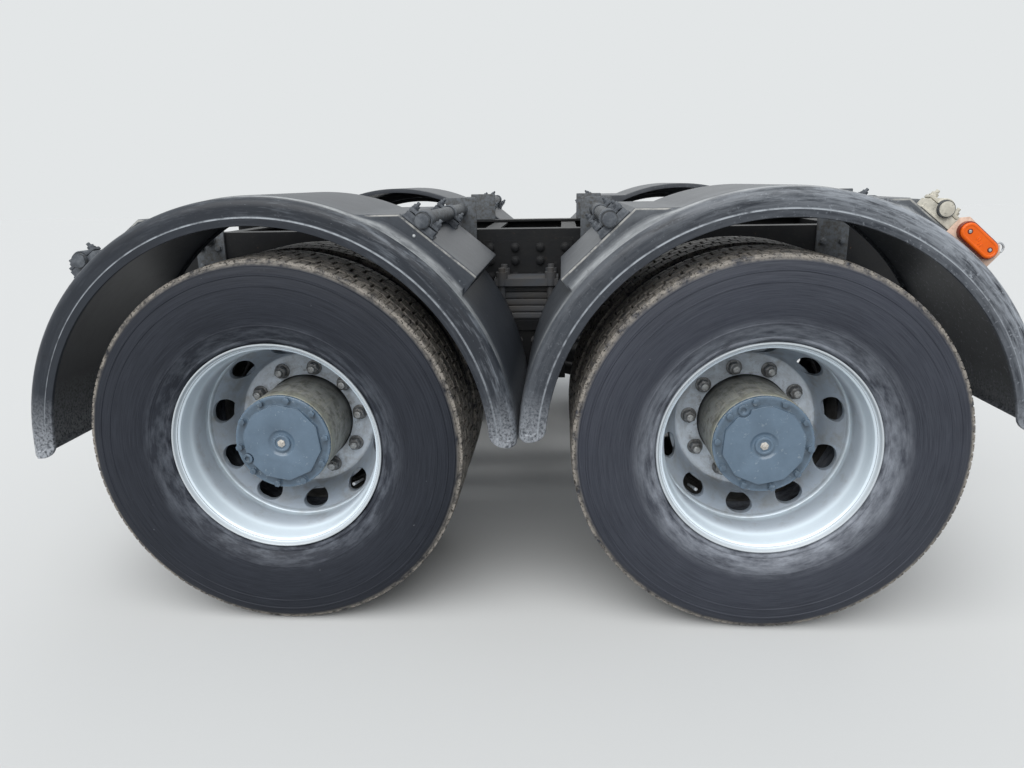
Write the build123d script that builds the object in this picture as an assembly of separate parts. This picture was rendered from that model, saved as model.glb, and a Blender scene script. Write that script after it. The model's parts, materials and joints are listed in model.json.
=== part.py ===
"""Tandem drive-axle bogie of a refuse lorry, with twin wheels, leaf springs and mudguards.

Millimetres. +X is forward, +Y is the lorry's left and +Z is up. The origin is on the
ground, midway between the two axles and the two sides.
"""
import os
from math import cos, radians, sin, sqrt

from build123d import *

RIGHT, LEFT = -1, 1
SIDES = {"right": RIGHT, "left": LEFT}

# Clearances
FIT = 0.3  # between round seats, and between a shaft and its bore
BRAKE_GAP = 5.0  # between the turning drum and its fixed dust shield

# Layout
WHEELBASE = 1350.0
DISC_PLANE = 913.0  # where the two discs of a twin wheel meet, from the centre plane

# Tyres
TYRE_RADIUS = 530.0
TYRE_WIDTH = 313.0
TREAD_WIDTH = 254.0
TREAD_THICKNESS = 32.0
SIDEWALL = 15.0
BEAD_WIDTH = 24.0

# Rims
SEAT_RADIUS = 285.7
FLANGE_RADIUS = 298.5
FLANGE_THICKNESS = 11.5
RIM_WIDTH = 252.0
RIM_OFFSET = 175.0
RIM_WALL = 8.0
WELL_DEPTH = 12.0
DISC_THICKNESS = 12.0
NUT_RING_RADIUS = 207.0
DISC_BORE_RADIUS = 140.5
VENT_COUNT = 10
VENT_CIRCLE_RADIUS = 241.0
VENT_LENGTH = 78.0
VENT_WIDTH = 46.0

# Hubs and brake drums
HUB_FLANGE_RADIUS = 192.0
HUB_FLANGE_THICKNESS = 22.0
BARREL_RADIUS = 139.0
BARREL_END = 1146.0
BEARING_HOUSING_RADIUS = 110.0
BEARING_HOUSING_DEPTH = 70.0
DRUM_RADIUS = 205.0
DRUM_WALL = 17.0
DRUM_NECK = 41.0
DRUM_WIDTH = 219.0

# Hub caps
CAP_RADIUS = 138.0
CAP_THICKNESS = 12.0
CAP_CORNERS = 10
CAP_PLATEAU_RADIUS = 115.0
CAP_PLATEAU_HEIGHT = 10.0
CAP_GROOVE_RADIUS = 38.0
CAP_GROOVE_DEPTH = 5.0
CAP_BOSS_RADIUS = 25.0
CAP_BOSS_HEIGHT = 3.0
FILLER_CIRCLE_RADIUS = 117.0
FILLER_RADIUS = 15.0
FILLER_CLEARANCE = 5.0  # round the filler, in the plateau
FILLER_HEIGHT = 7.0

# How far each wheel has turned: degrees from +X towards +Z to the first wheel nut
WHEEL_TURN = {
    ("rear", "right"): -173.0,
    ("front", "right"): 103.5,
    ("rear", "left"): 31.0,
    ("front", "left"): -68.0,
}

# Axles
SPINDLE_RADIUS = 65.0
SPINDLE_END_GAP = 22.0
BEAM_WIDTH = 130.0
BEAM_HEIGHT = 150.0
BEAM_CORNER = 28.0
SHIELD_THICKNESS = 10.0
CASING_RADIUS = 205.0
CASING_HALF_LENGTH = 95.0
COVER_LENGTH = 75.0
CARRIER_LENGTH = 135.0
CARRIER_DROP = 80.0  # of its shoulder below the casing's radius
CARRIER_RADIUS = 72.0
FLANGE_PCD = 155.5
FLANGE_HOLES = 8
FLANGE_HOLE_RADIUS = 7.0
COUPLING_RADIUS = 90.0
COUPLING_THICKNESS = 12.0
THROUGH_DRIVE_RISE = 110.0
THROUGH_DRIVE_LENGTH = 200.0
THROUGH_DRIVE_RADIUS = 95.0

# Propeller shaft
SHAFT_RADIUS = 45.0
YOKE_LENGTH = 80.0
YOKE_WIDTH = 60.0

# Frame
RAIL_OUTER = 390.0
RAIL_LENGTH = 2800.0
RAIL_HEIGHT = 270.0
RAIL_FLANGE = 80.0
RAIL_THICKNESS = 8.0
RAIL_TOP = 1075.0
CROSS_MEMBER_WIDTH = 60.0
CROSS_MEMBER_CLEARANCE = 3.0
CROSS_MEMBER_X = (-1200.0, -150.0, 150.0, 1200.0)
SPLICE_END = 60.0
SPLICE_SPACING_X = 80.0
SPLICE_SPACING_Z = 120.0
SPLICE_HOLE_RADIUS = 8.5

# Trunnion suspension
TRUNNION_HEIGHT = 655.0
TRUNNION_RADIUS = 60.0
TRUNNION_CAP_RADIUS = 82.0
TRUNNION_CAP_THICKNESS = 14.0
BRACKET_THICKNESS = 16.0
BRACKET_ARM_GAP = 23.41  # between a bracket's top and the plate of the nearest mudguard tube
BRACKET_LAP = 230.0
BRACKET_FOOT_RADIUS = 95.0
SPRING_CENTRE = 490.0
SPRING_WIDTH = 90.0
SPRING_SEAT = 772.0
SPRING_RADIUS = 2820.0
LEAF_THICKNESS = 24.0
LEAF_HALF_LENGTHS = (700.0, 600.0, 480.0, 360.0, 240.0)  # longest at the bottom
SADDLE_HALF_LENGTH = 110.0
SADDLE_PLATE = 34.0
SADDLE_RADIUS = 84.0
CLAMP_PLATE_THICKNESS = 25.0
CLAMP_ROD_RADIUS = 12.0
CLAMP_ROD_X = 84.0
CLAMP_ROD_CLEARANCE = 3.0  # between rod and spring side
CLAMP_NUT_RADIUS = 20.0
CLAMP_NUT_HEIGHT = 22.0
CLAMP_ROD_TIP = 14.0
CLAMP_ROD_RELIEF = 50.0  # of the rods' holes, below the saddle's plate
SPRING_PAD_HALF_LENGTH = 62.0
CHEEK_THICKNESS = 10.0
CHEEK_GAP = 2.0
CHEEK_RISE = 45.0

# Torque rods
ROD_RADIUS = 24.0
EYE_RADIUS = 40.0
EYE_WIDTH = 62.0
EAR_THICKNESS = 14.0
LOWER_ROD_Y = 300.0
LOWER_ROD_BRACKET_X = 95.0
LOWER_ROD_DROP = 105.0  # of the bracket's eye, below the trunnion
LOWER_ROD_AXLE_GAP = 20.0
LOWER_ROD_AXLE_DROP = 90.0
UPPER_ROD_APEX_HEIGHT = 40.0
UPPER_ROD_FRAME_X = 235.0
UPPER_ROD_FRAME_Y = 345.0
UPPER_ROD_FRAME_Z = 880.0

# Brake chambers
CHAMBER_RADIUS = 80.0
CHAMBER_LENGTH = 150.0
CHAMBER_Y = 440.0
CHAMBER_RISE = 70.0
CHAMBER_BRACKET = 12.0
CHAMBER_STAND_OFF = 42.0

# Mudguards: centre's x beyond the axle, centre's z, what the outer radius has over half the
# wheelbase so that the guards meet between the axles, first and last angle from +X
GUARDS = {
    "rear": (-6.5, 530.0, 9.0, 1.6, 181.8),
    "front": (6.0, 541.5, 1.0, 5.3, 178.0),
}
GUARD_WALL = 5.0
GUARD_INNER_EDGE = 570.0
GUARD_OUTER_EDGE = 1250.0
GUARD_FACE_DEPTH = 73.0  # from the outer radius to the open edge
GUARD_BORDER = 19.0
GUARD_BORDER_STANDOUT = 4.0
GUARD_SHOULDER = 24.0
GUARD_INNER_LIP = 16.0

# Flat pads on the guards, and the tubes that are clamped on them. A pad is square to a line
# at an angle from +X, which starts above the axle at PAD_CENTRE_Z. Lengths along a pad count
# from that line towards the top of the guard, where the pad turns level and runs into the skin.
# axle, angle, pad's rise over the guard's radius, pad's low and high ends along it, tube's
# height over the pad and place along it
PAD_CENTRE_Z = 541.0
PAD_OUTER_END = 1176.0
PAD_ROOT = 50.0  # depth of a pad's block below the guard's radius, before the guard is hollowed
GUARD_PADS = (
    ("rear", 128.0, 4.5, (-165.0, 122.0), (24.0, -81.5)),
    ("rear", 50.5, 36.5, (-153.0, 104.0), (23.5, 47.5)),
    ("front", 133.5, 33.5, (-96.0, 166.0), (23.5, 101.0)),
    ("front", 51.0, 18.0, (-100.0, 165.0), (32.0, 80.0)),
)
TUBE_RADIUS = 21.0
TUBE_WALL = 3.0
TUBE_END = 1182.0
TUBE_CAP = 4.0
TUBE_BRACKET_THICKNESS = 12.0
TUBE_BRACKET_WIDTH = 110.0
TUBE_BRACKET_RISE = 42.0
TUBE_BRACKET_FOOT = 925.0
CLAMP_LENGTH = 100.0
CLAMP_EAR_LENGTH = 92.0
CLAMP_WIDTH = 52.0
STRAP_THICKNESS = 7.0
STRAP_WIDTH = 38.0
GUARD_CLAMP_Y = (700.0, 1148.0)

# Side marker lamps, on the outer ends of the front guards' front pads
LAMP_ANGLE = 49.0
LAMP_PLATE_FOOT = -4.0  # from the guard's radius
LAMP_PLATE_THICKNESS = 3.0
LAMP_PLATE_LENGTH = 140.0
LAMP_PLATE_HEIGHT = 75.0
LAMP_PLATE_CLIP = 16.0
LAMP_PLATE_SHIFT = -6.0
LENS_LENGTH = 118.0
LENS_HEIGHT = 50.0
LENS_DEPTH = 20.0
LENS_MARGIN = 4.0  # above the lens, on its plate

# Worked out from the sizes above
AXLE_X = {"rear": -WHEELBASE / 2, "front": WHEELBASE / 2}
GUARD_RADIUS = {name: WHEELBASE / 2 + over for name, (_, _, over, _, _) in GUARDS.items()}
HUB_HEIGHT = TYRE_RADIUS
RAIL_BOTTOM = RAIL_TOP - RAIL_HEIGHT
RAIL_WEB_INNER = RAIL_OUTER - RAIL_THICKNESS
DRUM_FACE = DISC_PLANE - DISC_THICKNESS - HUB_FLANGE_THICKNESS
DRUM_OPEN_END = DRUM_FACE - DRUM_WIDTH
SHIELD_FACE = DRUM_OPEN_END - BRAKE_GAP
CLAMP_ROD_Y = SPRING_WIDTH / 2 + CLAMP_ROD_CLEARANCE + CLAMP_ROD_RADIUS
SPRING_PACK = LEAF_THICKNESS * len(LEAF_HALF_LENGTHS)
COUPLING_X = CASING_HALF_LENGTH + CARRIER_LENGTH + COUPLING_THICKNESS

parts = {}


def ring(rows, side, arc=360.0):
    """Turned piece about the Y axis, from rows of (radius, distance from the centre plane).

    Less than a full turn starts at +X and goes up over +Z.
    """
    outline = Polyline([(radius, side * distance) for radius, distance in rows], close=True)
    return revolve(make_face(outline), axis=Axis((0, 0, 0), (0, -1, 0)), revolution_arc=arc)


def block(x, y, z):
    """Box from its (low, high) limits on each axis."""
    (x0, x1), (y0, y1), (z0, z1) = sorted(x), sorted(y), sorted(z)
    return Pos(x0, y0, z0) * Box(x1 - x0, y1 - y0, z1 - z0, align=(Align.MIN,) * 3)


def slab(outline, y):
    """Plate in the XZ plane from a closed outline, between two distances along Y."""
    low, high = sorted(y)
    return extrude(Plane.XZ.offset(-low) * make_face(outline), -(high - low))


def rod(start, end, radius):
    """Round bar from point to point."""
    run = Vector(*end) - Vector(*start)
    return Plane(origin=start, z_dir=run) * Cylinder(
        radius, run.length, align=(Align.CENTER, Align.CENTER, Align.MIN)
    )


def cross_rod(x, z, y, radius):
    """Round bar along Y between two distances."""
    low, high = sorted(y)
    return rod((x, low, z), (x, high, z), radius)


def at_hub(shape, axle, turn=0.0):
    """Shape made about the origin's Y axis, turned and moved to an axle."""
    return Pos(AXLE_X[axle], 0, HUB_HEIGHT) * Rot(0, -turn, 0) * shape


# Wheels. Sections are rows of (radius, distance); a disc's own distances count from the
# plane where the twin discs meet, towards the open side of the dish.

def pad_point(axle_x, angle, out, along=0.0):
    """Point (x, z) at a distance out from the pads' centre, and along a pad towards the top."""
    turn = radians(angle)
    lean = 1 if angle < 90 else -1
    return (axle_x + out * cos(turn) - lean * along * sin(turn),
            PAD_CENTRE_Z + out * sin(turn) + lean * along * cos(turn))


def tyre_section(out):
    """Tyre section for the outer (out = 1) or inner (out = -1) wheel of a twin pair."""
    centre = DISC_PLANE + out * RIM_OFFSET
    height = TYRE_RADIUS - SEAT_RADIUS
    half = TYRE_WIDTH / 2
    bead = RIM_WIDTH / 2 - FLANGE_THICKNESS - FIT
    seat = SEAT_RADIUS + FIT
    clear = FLANGE_RADIUS + FIT
    # share of the section height, share of the half width
    wall_rows = ((0.24, 0.95), (0.51, 1.0), (0.86, 0.94))
    outer = [(seat, bead), (clear, bead), (clear + 3, bead + 9)]
    outer += [(SEAT_RADIUS + height * r, half * w) for r, w in wall_rows]
    outer += [(TYRE_RADIUS - 7, TREAD_WIDTH / 2 + 7), (TYRE_RADIUS, TREAD_WIDTH / 2 - 3)]
    inner = [(seat, bead - BEAD_WIDTH)]
    inner += [(SEAT_RADIUS + height * r, half * w - SIDEWALL) for r, w in wall_rows[:2]]
    inner += [(TYRE_RADIUS - TREAD_THICKNESS, TREAD_WIDTH / 2 - 20)]
    outline = outer + [(r, -w) for r, w in reversed(outer)]
    outline += [(r, -w) for r, w in inner] + list(reversed(inner))
    return [(r, centre + w) for r, w in outline]


def rim_section(out):
    """Section of a rim and its disc, in one outline."""
    near, far = RIM_OFFSET - RIM_WIDTH / 2, RIM_OFFSET + RIM_WIDTH / 2
    base = SEAT_RADIUS - 5
    seat_length = 24
    disc_edge = base - RIM_WALL
    tyre_side = [
        (FLANGE_RADIUS, near), (FLANGE_RADIUS, near + 6), (SEAT_RADIUS, near + FLANGE_THICKNESS),
        (SEAT_RADIUS, near + FLANGE_THICKNESS + seat_length), (base, near + 60),
        (base, near + 92), (base - WELL_DEPTH / 2, near + 108), (base - WELL_DEPTH / 2, far - 80),
        (base, far - 62), (SEAT_RADIUS, far - FLANGE_THICKNESS - seat_length),
        (SEAT_RADIUS, far - FLANGE_THICKNESS), (FLANGE_RADIUS, far - 6), (FLANGE_RADIUS, far),
    ]
    dish = [
        (FLANGE_RADIUS - 7, far - 1), (SEAT_RADIUS, far - 11), (SEAT_RADIUS - RIM_WALL, far - 26),
        (disc_edge, far - 62), (disc_edge - WELL_DEPTH / 2, far - 80),
        (disc_edge - WELL_DEPTH / 2, near + 108), (disc_edge, near + 92), (disc_edge, near + 76),
    ]
    # radius, distance of the disc's hollow face from the meeting plane
    bowl = [(disc_edge - 6, near + 60), (VENT_CIRCLE_RADIUS, near + 42),
            (NUT_RING_RADIUS + 9, near + 2), (NUT_RING_RADIUS, DISC_THICKNESS)]
    bore = [(DISC_BORE_RADIUS, DISC_THICKNESS), (DISC_BORE_RADIUS, 0.0)]
    back = [(NUT_RING_RADIUS + 6, 0.0), (NUT_RING_RADIUS + 21, near - 8),
            (VENT_CIRCLE_RADIUS + 9, near + 32), (disc_edge, near + 48),
            (disc_edge, near + 30), (SEAT_RADIUS - RIM_WALL, near + 24),
            (SEAT_RADIUS, near + 11), (FLANGE_RADIUS - 7, near + 1)]
    return [(r, DISC_PLANE + out * a) for r, a in tyre_side + dish + bowl + bore + back]


def rim(out, side):
    """Rim with its disc and hand holes, first wheel nut at +X."""
    body = ring(rim_section(out), side)
    hole = extrude(Ellipse(VENT_WIDTH / 2, VENT_LENGTH / 2), 2 * RIM_OFFSET, both=True)
    step = 360 / VENT_COUNT
    for i in range(VENT_COUNT):
        body -= Rot(0, -(i + 0.5) * step, 0) * (
            Pos(VENT_CIRCLE_RADIUS, side * (DISC_PLANE + out * RIM_OFFSET), 0)
            * Rot(90, 0, 0) * hole
        )
    return body


HUB_SECTION = [
    (SPINDLE_RADIUS + FIT, DRUM_FACE - BEARING_HOUSING_DEPTH - DRUM_WALL),
    (BEARING_HOUSING_RADIUS, DRUM_FACE - BEARING_HOUSING_DEPTH - DRUM_WALL),
    (BEARING_HOUSING_RADIUS, DRUM_FACE - DRUM_WALL),
    (DRUM_RADIUS - 15, DRUM_FACE - DRUM_WALL),
    (DRUM_RADIUS, DRUM_FACE - DRUM_NECK),
    (DRUM_RADIUS, DRUM_OPEN_END),
    (DRUM_RADIUS + DRUM_WALL, DRUM_OPEN_END),
    (DRUM_RADIUS + DRUM_WALL, DRUM_FACE - DRUM_NECK),
    (DRUM_RADIUS - 4, DRUM_FACE - DRUM_WALL),
    (HUB_FLANGE_RADIUS, DRUM_FACE),
    (HUB_FLANGE_RADIUS, DRUM_FACE + HUB_FLANGE_THICKNESS),
    (DISC_BORE_RADIUS - FIT, DRUM_FACE + HUB_FLANGE_THICKNESS),
    (DISC_BORE_RADIUS - FIT, DISC_PLANE + DISC_THICKNESS + 3),
    (BARREL_RADIUS, DISC_PLANE + DISC_THICKNESS + 6),
    (BARREL_RADIUS, BARREL_END),
    (SPINDLE_RADIUS + FIT, BARREL_END),
]


def hub_cap(side):
    """Cap with a ten-cornered plateau, a centre boss in a groove, and an oil filler."""
    face = BARREL_END + CAP_THICKNESS
    top = face + CAP_PLATEAU_HEIGHT
    cap = ring([(0, BARREL_END), (CAP_RADIUS, BARREL_END), (CAP_RADIUS, face), (0, face)], side)
    corner_turn = 180 / CAP_CORNERS
    plateau = extrude(RegularPolygon(CAP_PLATEAU_RADIUS, CAP_CORNERS, rotation=corner_turn),
                      CAP_PLATEAU_HEIGHT)
    plateau = chamfer(plateau.faces().sort_by(Axis.Z)[-1].edges(), 3)
    cap += Pos(0, side * face, 0) * Rot(-90 * side, 0, 0) * plateau
    cap -= ring([(CAP_BOSS_RADIUS, top - CAP_GROOVE_DEPTH), (CAP_BOSS_RADIUS, top + 1),
                 (CAP_GROOVE_RADIUS, top + 1), (CAP_GROOVE_RADIUS - 4, top - CAP_GROOVE_DEPTH)],
                side)
    cap += ring([(0, top - 1), (CAP_BOSS_RADIUS, top - 1),
                 (CAP_BOSS_RADIUS - 2, top + CAP_BOSS_HEIGHT), (0, top + CAP_BOSS_HEIGHT)], side)
    relief = cross_rod(FILLER_CIRCLE_RADIUS, 0, (side * face, side * (top + 1)),
                       FILLER_RADIUS + FILLER_CLEARANCE)
    filler = cross_rod(FILLER_CIRCLE_RADIUS, 0, (side * (face - 2), side * (face + FILLER_HEIGHT)),
                       FILLER_RADIUS)
    return cap - Rot(0, -corner_turn, 0) * relief + Rot(0, -corner_turn, 0) * filler


for side_name, side in SIDES.items():
    wheel_pieces = {"hub": ring(HUB_SECTION, side), "hub_cap": hub_cap(side)}
    for place, out in (("outer", 1), ("inner", -1)):
        wheel_pieces["tyre_" + place] = ring(tyre_section(out), side)
        wheel_pieces["rim_" + place] = rim(out, side)
    for axle in AXLE_X:
        for piece, shape in wheel_pieces.items():
            parts[f"{piece}_{axle}_{side_name}"] = at_hub(shape, axle, WHEEL_TURN[axle, side_name])


# Springs: leaves are bands between arcs about one centre below the axles

SPRING_ARC_Z = SPRING_SEAT - SPRING_RADIUS


def spring_z(x, layer=0):
    """Height of the underside of a leaf, counted from the bottom one."""
    return SPRING_ARC_Z + sqrt((SPRING_RADIUS + layer * LEAF_THICKNESS) ** 2 - x * x)


def leaf_spring(side):
    """Stepped pack of leaves."""
    pack = None
    for layer, half in enumerate(LEAF_HALF_LENGTHS):
        low, high = layer, layer + 1
        outline = [
            ThreePointArc((-half, spring_z(half, low)), (0, spring_z(0, low)),
                          (half, spring_z(half, low))),
            Line((half, spring_z(half, low)), (half, spring_z(half, high))),
            ThreePointArc((half, spring_z(half, high)), (0, spring_z(0, high)),
                          (-half, spring_z(half, high))),
            Line((-half, spring_z(half, high)), (-half, spring_z(half, low))),
        ]
        leaf = slab(outline, (side * (SPRING_CENTRE - SPRING_WIDTH / 2),
                              side * (SPRING_CENTRE + SPRING_WIDTH / 2)))
        pack = leaf if pack is None else pack + leaf
    return pack


PAD_TOP = spring_z(LEAF_HALF_LENGTHS[0]) - FIT


# Axles

def axle(name):
    """Housing with its spindles, dust shields, spring pads and torque rod ears."""
    inward = -1 if name == "front" else 1  # towards the other axle
    casing_rows = [
        (-CASING_HALF_LENGTH - COVER_LENGTH, 0), (-CASING_HALF_LENGTH - COVER_LENGTH, 70),
        (-CASING_HALF_LENGTH - COVER_LENGTH * 0.35, CASING_RADIUS - 45),
        (-CASING_HALF_LENGTH, CASING_RADIUS), (CASING_HALF_LENGTH, CASING_RADIUS),
        (CASING_HALF_LENGTH + CARRIER_LENGTH * 0.35, CASING_RADIUS - CARRIER_DROP),
        (CASING_HALF_LENGTH + CARRIER_LENGTH, CARRIER_RADIUS),
        (CASING_HALF_LENGTH + CARRIER_LENGTH, COUPLING_RADIUS), (COUPLING_X, COUPLING_RADIUS),
        (COUPLING_X, 0),
    ]
    casing = revolve(make_face(Polyline([(inward * x, r) for x, r in casing_rows], close=True)),
                     axis=Axis.X)
    beam = Box(BEAM_WIDTH, 2 * (SHIELD_FACE - SHIELD_THICKNESS), BEAM_HEIGHT)
    beam = fillet(beam.edges().filter_by(Axis.Y), BEAM_CORNER)
    housing = casing + beam
    pad_top = PAD_TOP - HUB_HEIGHT
    for side in (RIGHT, LEFT):
        housing += ring([
            (0, SHIELD_FACE - SHIELD_THICKNESS - 1),
            (DRUM_RADIUS + DRUM_WALL, SHIELD_FACE - SHIELD_THICKNESS - 1),
            (DRUM_RADIUS + DRUM_WALL, SHIELD_FACE), (SPINDLE_RADIUS, SHIELD_FACE),
            (SPINDLE_RADIUS, BARREL_END - SPINDLE_END_GAP), (0, BARREL_END - SPINDLE_END_GAP),
        ], side)
        inner = SPRING_CENTRE - SPRING_WIDTH / 2 - CHEEK_GAP
        outer = SPRING_CENTRE + SPRING_WIDTH / 2 + CHEEK_GAP
        housing += block((-SPRING_PAD_HALF_LENGTH, SPRING_PAD_HALF_LENGTH),
                         (side * (inner - CHEEK_THICKNESS), side * (outer + CHEEK_THICKNESS)),
                         (0, pad_top))
        for low in (inner - CHEEK_THICKNESS, outer):
            housing += block((-SPRING_PAD_HALF_LENGTH, SPRING_PAD_HALF_LENGTH),
                             (side * low, side * (low + CHEEK_THICKNESS)),
                             (pad_top - 1, pad_top + CHEEK_RISE))
        # Ears of the lower torque rod, in front of the beam on the side of the trunnion
        for low in (LOWER_ROD_Y - EYE_WIDTH / 2 - EAR_THICKNESS, LOWER_ROD_Y + EYE_WIDTH / 2):
            reach = BEAM_WIDTH / 2 + LOWER_ROD_AXLE_GAP + 2 * EYE_RADIUS
            ear = Polyline([
                (0, BEAM_HEIGHT * -0.1), (inward * BEAM_WIDTH * 0.5, BEAM_HEIGHT * -0.1),
                (inward * reach, -LOWER_ROD_AXLE_DROP + EYE_RADIUS),
                (inward * reach, -LOWER_ROD_AXLE_DROP - EYE_RADIUS * 0.8),
                (0, -LOWER_ROD_AXLE_DROP - EYE_RADIUS * 0.8)], close=True)
            housing += slab(ear, (side * low, side * (low + EAR_THICKNESS)))
    boss = Pos(0, 0, CASING_RADIUS - 30) * Cylinder(
        EYE_RADIUS + 6, 30 + UPPER_ROD_APEX_HEIGHT - EYE_WIDTH / 2,
        align=(Align.CENTER, Align.CENTER, Align.MIN))
    housing += boss
    if name == "front":
        drive_end = BEAM_WIDTH / 2 + COVER_LENGTH + THROUGH_DRIVE_LENGTH
        flange_start = drive_end - COUPLING_THICKNESS
        housing += Pos(0, 0, THROUGH_DRIVE_RISE) * revolve(make_face(Polyline([
            (0, 0), (0, THROUGH_DRIVE_RADIUS), (drive_end * 0.6, THROUGH_DRIVE_RADIUS),
            (drive_end * 0.75, CARRIER_RADIUS * 0.8), (flange_start, CARRIER_RADIUS * 0.8),
            (flange_start, COUPLING_RADIUS), (drive_end, COUPLING_RADIUS), (drive_end, 0),
        ], close=True)), axis=Axis.X)
        for i in range(FLANGE_HOLES):
            turn = radians((i + 0.5) * 360 / FLANGE_HOLES)
            y, z = FLANGE_PCD / 2 * cos(turn), FLANGE_PCD / 2 * sin(turn) + THROUGH_DRIVE_RISE
            housing -= rod((flange_start - 1, y, z), (drive_end + 1, y, z), FLANGE_HOLE_RADIUS)
    return at_hub(housing, name)


for name in AXLE_X:
    parts["axle_" + name] = axle(name)

half_run = WHEELBASE / 2 - COUPLING_X
shaft = rod((-half_run, 0, HUB_HEIGHT), (half_run, 0, HUB_HEIGHT), SHAFT_RADIUS)
for end in (-1, 1):
    x = end * half_run
    shaft += rod((x, 0, HUB_HEIGHT), (x - end * COUPLING_THICKNESS, 0, HUB_HEIGHT), COUPLING_RADIUS)
    for y in (-1, 1):
        shaft += block((x, x - end * YOKE_LENGTH),
                       (y * (SHAFT_RADIUS + 4), y * (SHAFT_RADIUS - 16)),
                       (HUB_HEIGHT - YOKE_WIDTH / 2, HUB_HEIGHT + YOKE_WIDTH / 2))
parts["prop_shaft"] = shaft


# Frame

splice_x = RAIL_LENGTH / 2 - SPLICE_END - SPLICE_SPACING_X / 2
splice_z = (RAIL_TOP + RAIL_BOTTOM) / 2
for side_name, side in SIDES.items():
    rail = block((-RAIL_LENGTH / 2, RAIL_LENGTH / 2), (side * RAIL_OUTER, side * RAIL_WEB_INNER),
                 (RAIL_BOTTOM, RAIL_TOP))
    for low in (RAIL_BOTTOM, RAIL_TOP - RAIL_THICKNESS):
        rail += block((-RAIL_LENGTH / 2, RAIL_LENGTH / 2),
                      (side * RAIL_OUTER, side * (RAIL_OUTER - RAIL_FLANGE)),
                      (low, low + RAIL_THICKNESS))
    for end in (-1, 1):
        for dx in (-0.5, 0.5):
            for dz in (-0.5, 0.5):
                rail -= cross_rod(end * splice_x + dx * SPLICE_SPACING_X,
                                  splice_z + dz * SPLICE_SPACING_Z,
                                  (side * (RAIL_OUTER + 1), side * (RAIL_WEB_INNER - 1)),
                                  SPLICE_HOLE_RADIUS)
    parts["frame_rail_" + side_name] = rail

cross_low = RAIL_BOTTOM + RAIL_THICKNESS + CROSS_MEMBER_CLEARANCE
cross_high = RAIL_TOP - RAIL_THICKNESS - CROSS_MEMBER_CLEARANCE
cross_members = []
for x in CROSS_MEMBER_X:
    member = block((x - CROSS_MEMBER_WIDTH / 2, x + CROSS_MEMBER_WIDTH / 2),
                   (-RAIL_WEB_INNER, RAIL_WEB_INNER), (cross_low, cross_high))
    member -= block((x - CROSS_MEMBER_WIDTH / 2 + RAIL_THICKNESS, x + CROSS_MEMBER_WIDTH),
                    (-RAIL_OUTER, RAIL_OUTER),
                    (cross_low + RAIL_THICKNESS, cross_high - RAIL_THICKNESS))
    cross_members.append(member)
parts["cross_members"] = cross_members


# Trunnion brackets, shaft, saddles and the clamps over the springs

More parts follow.
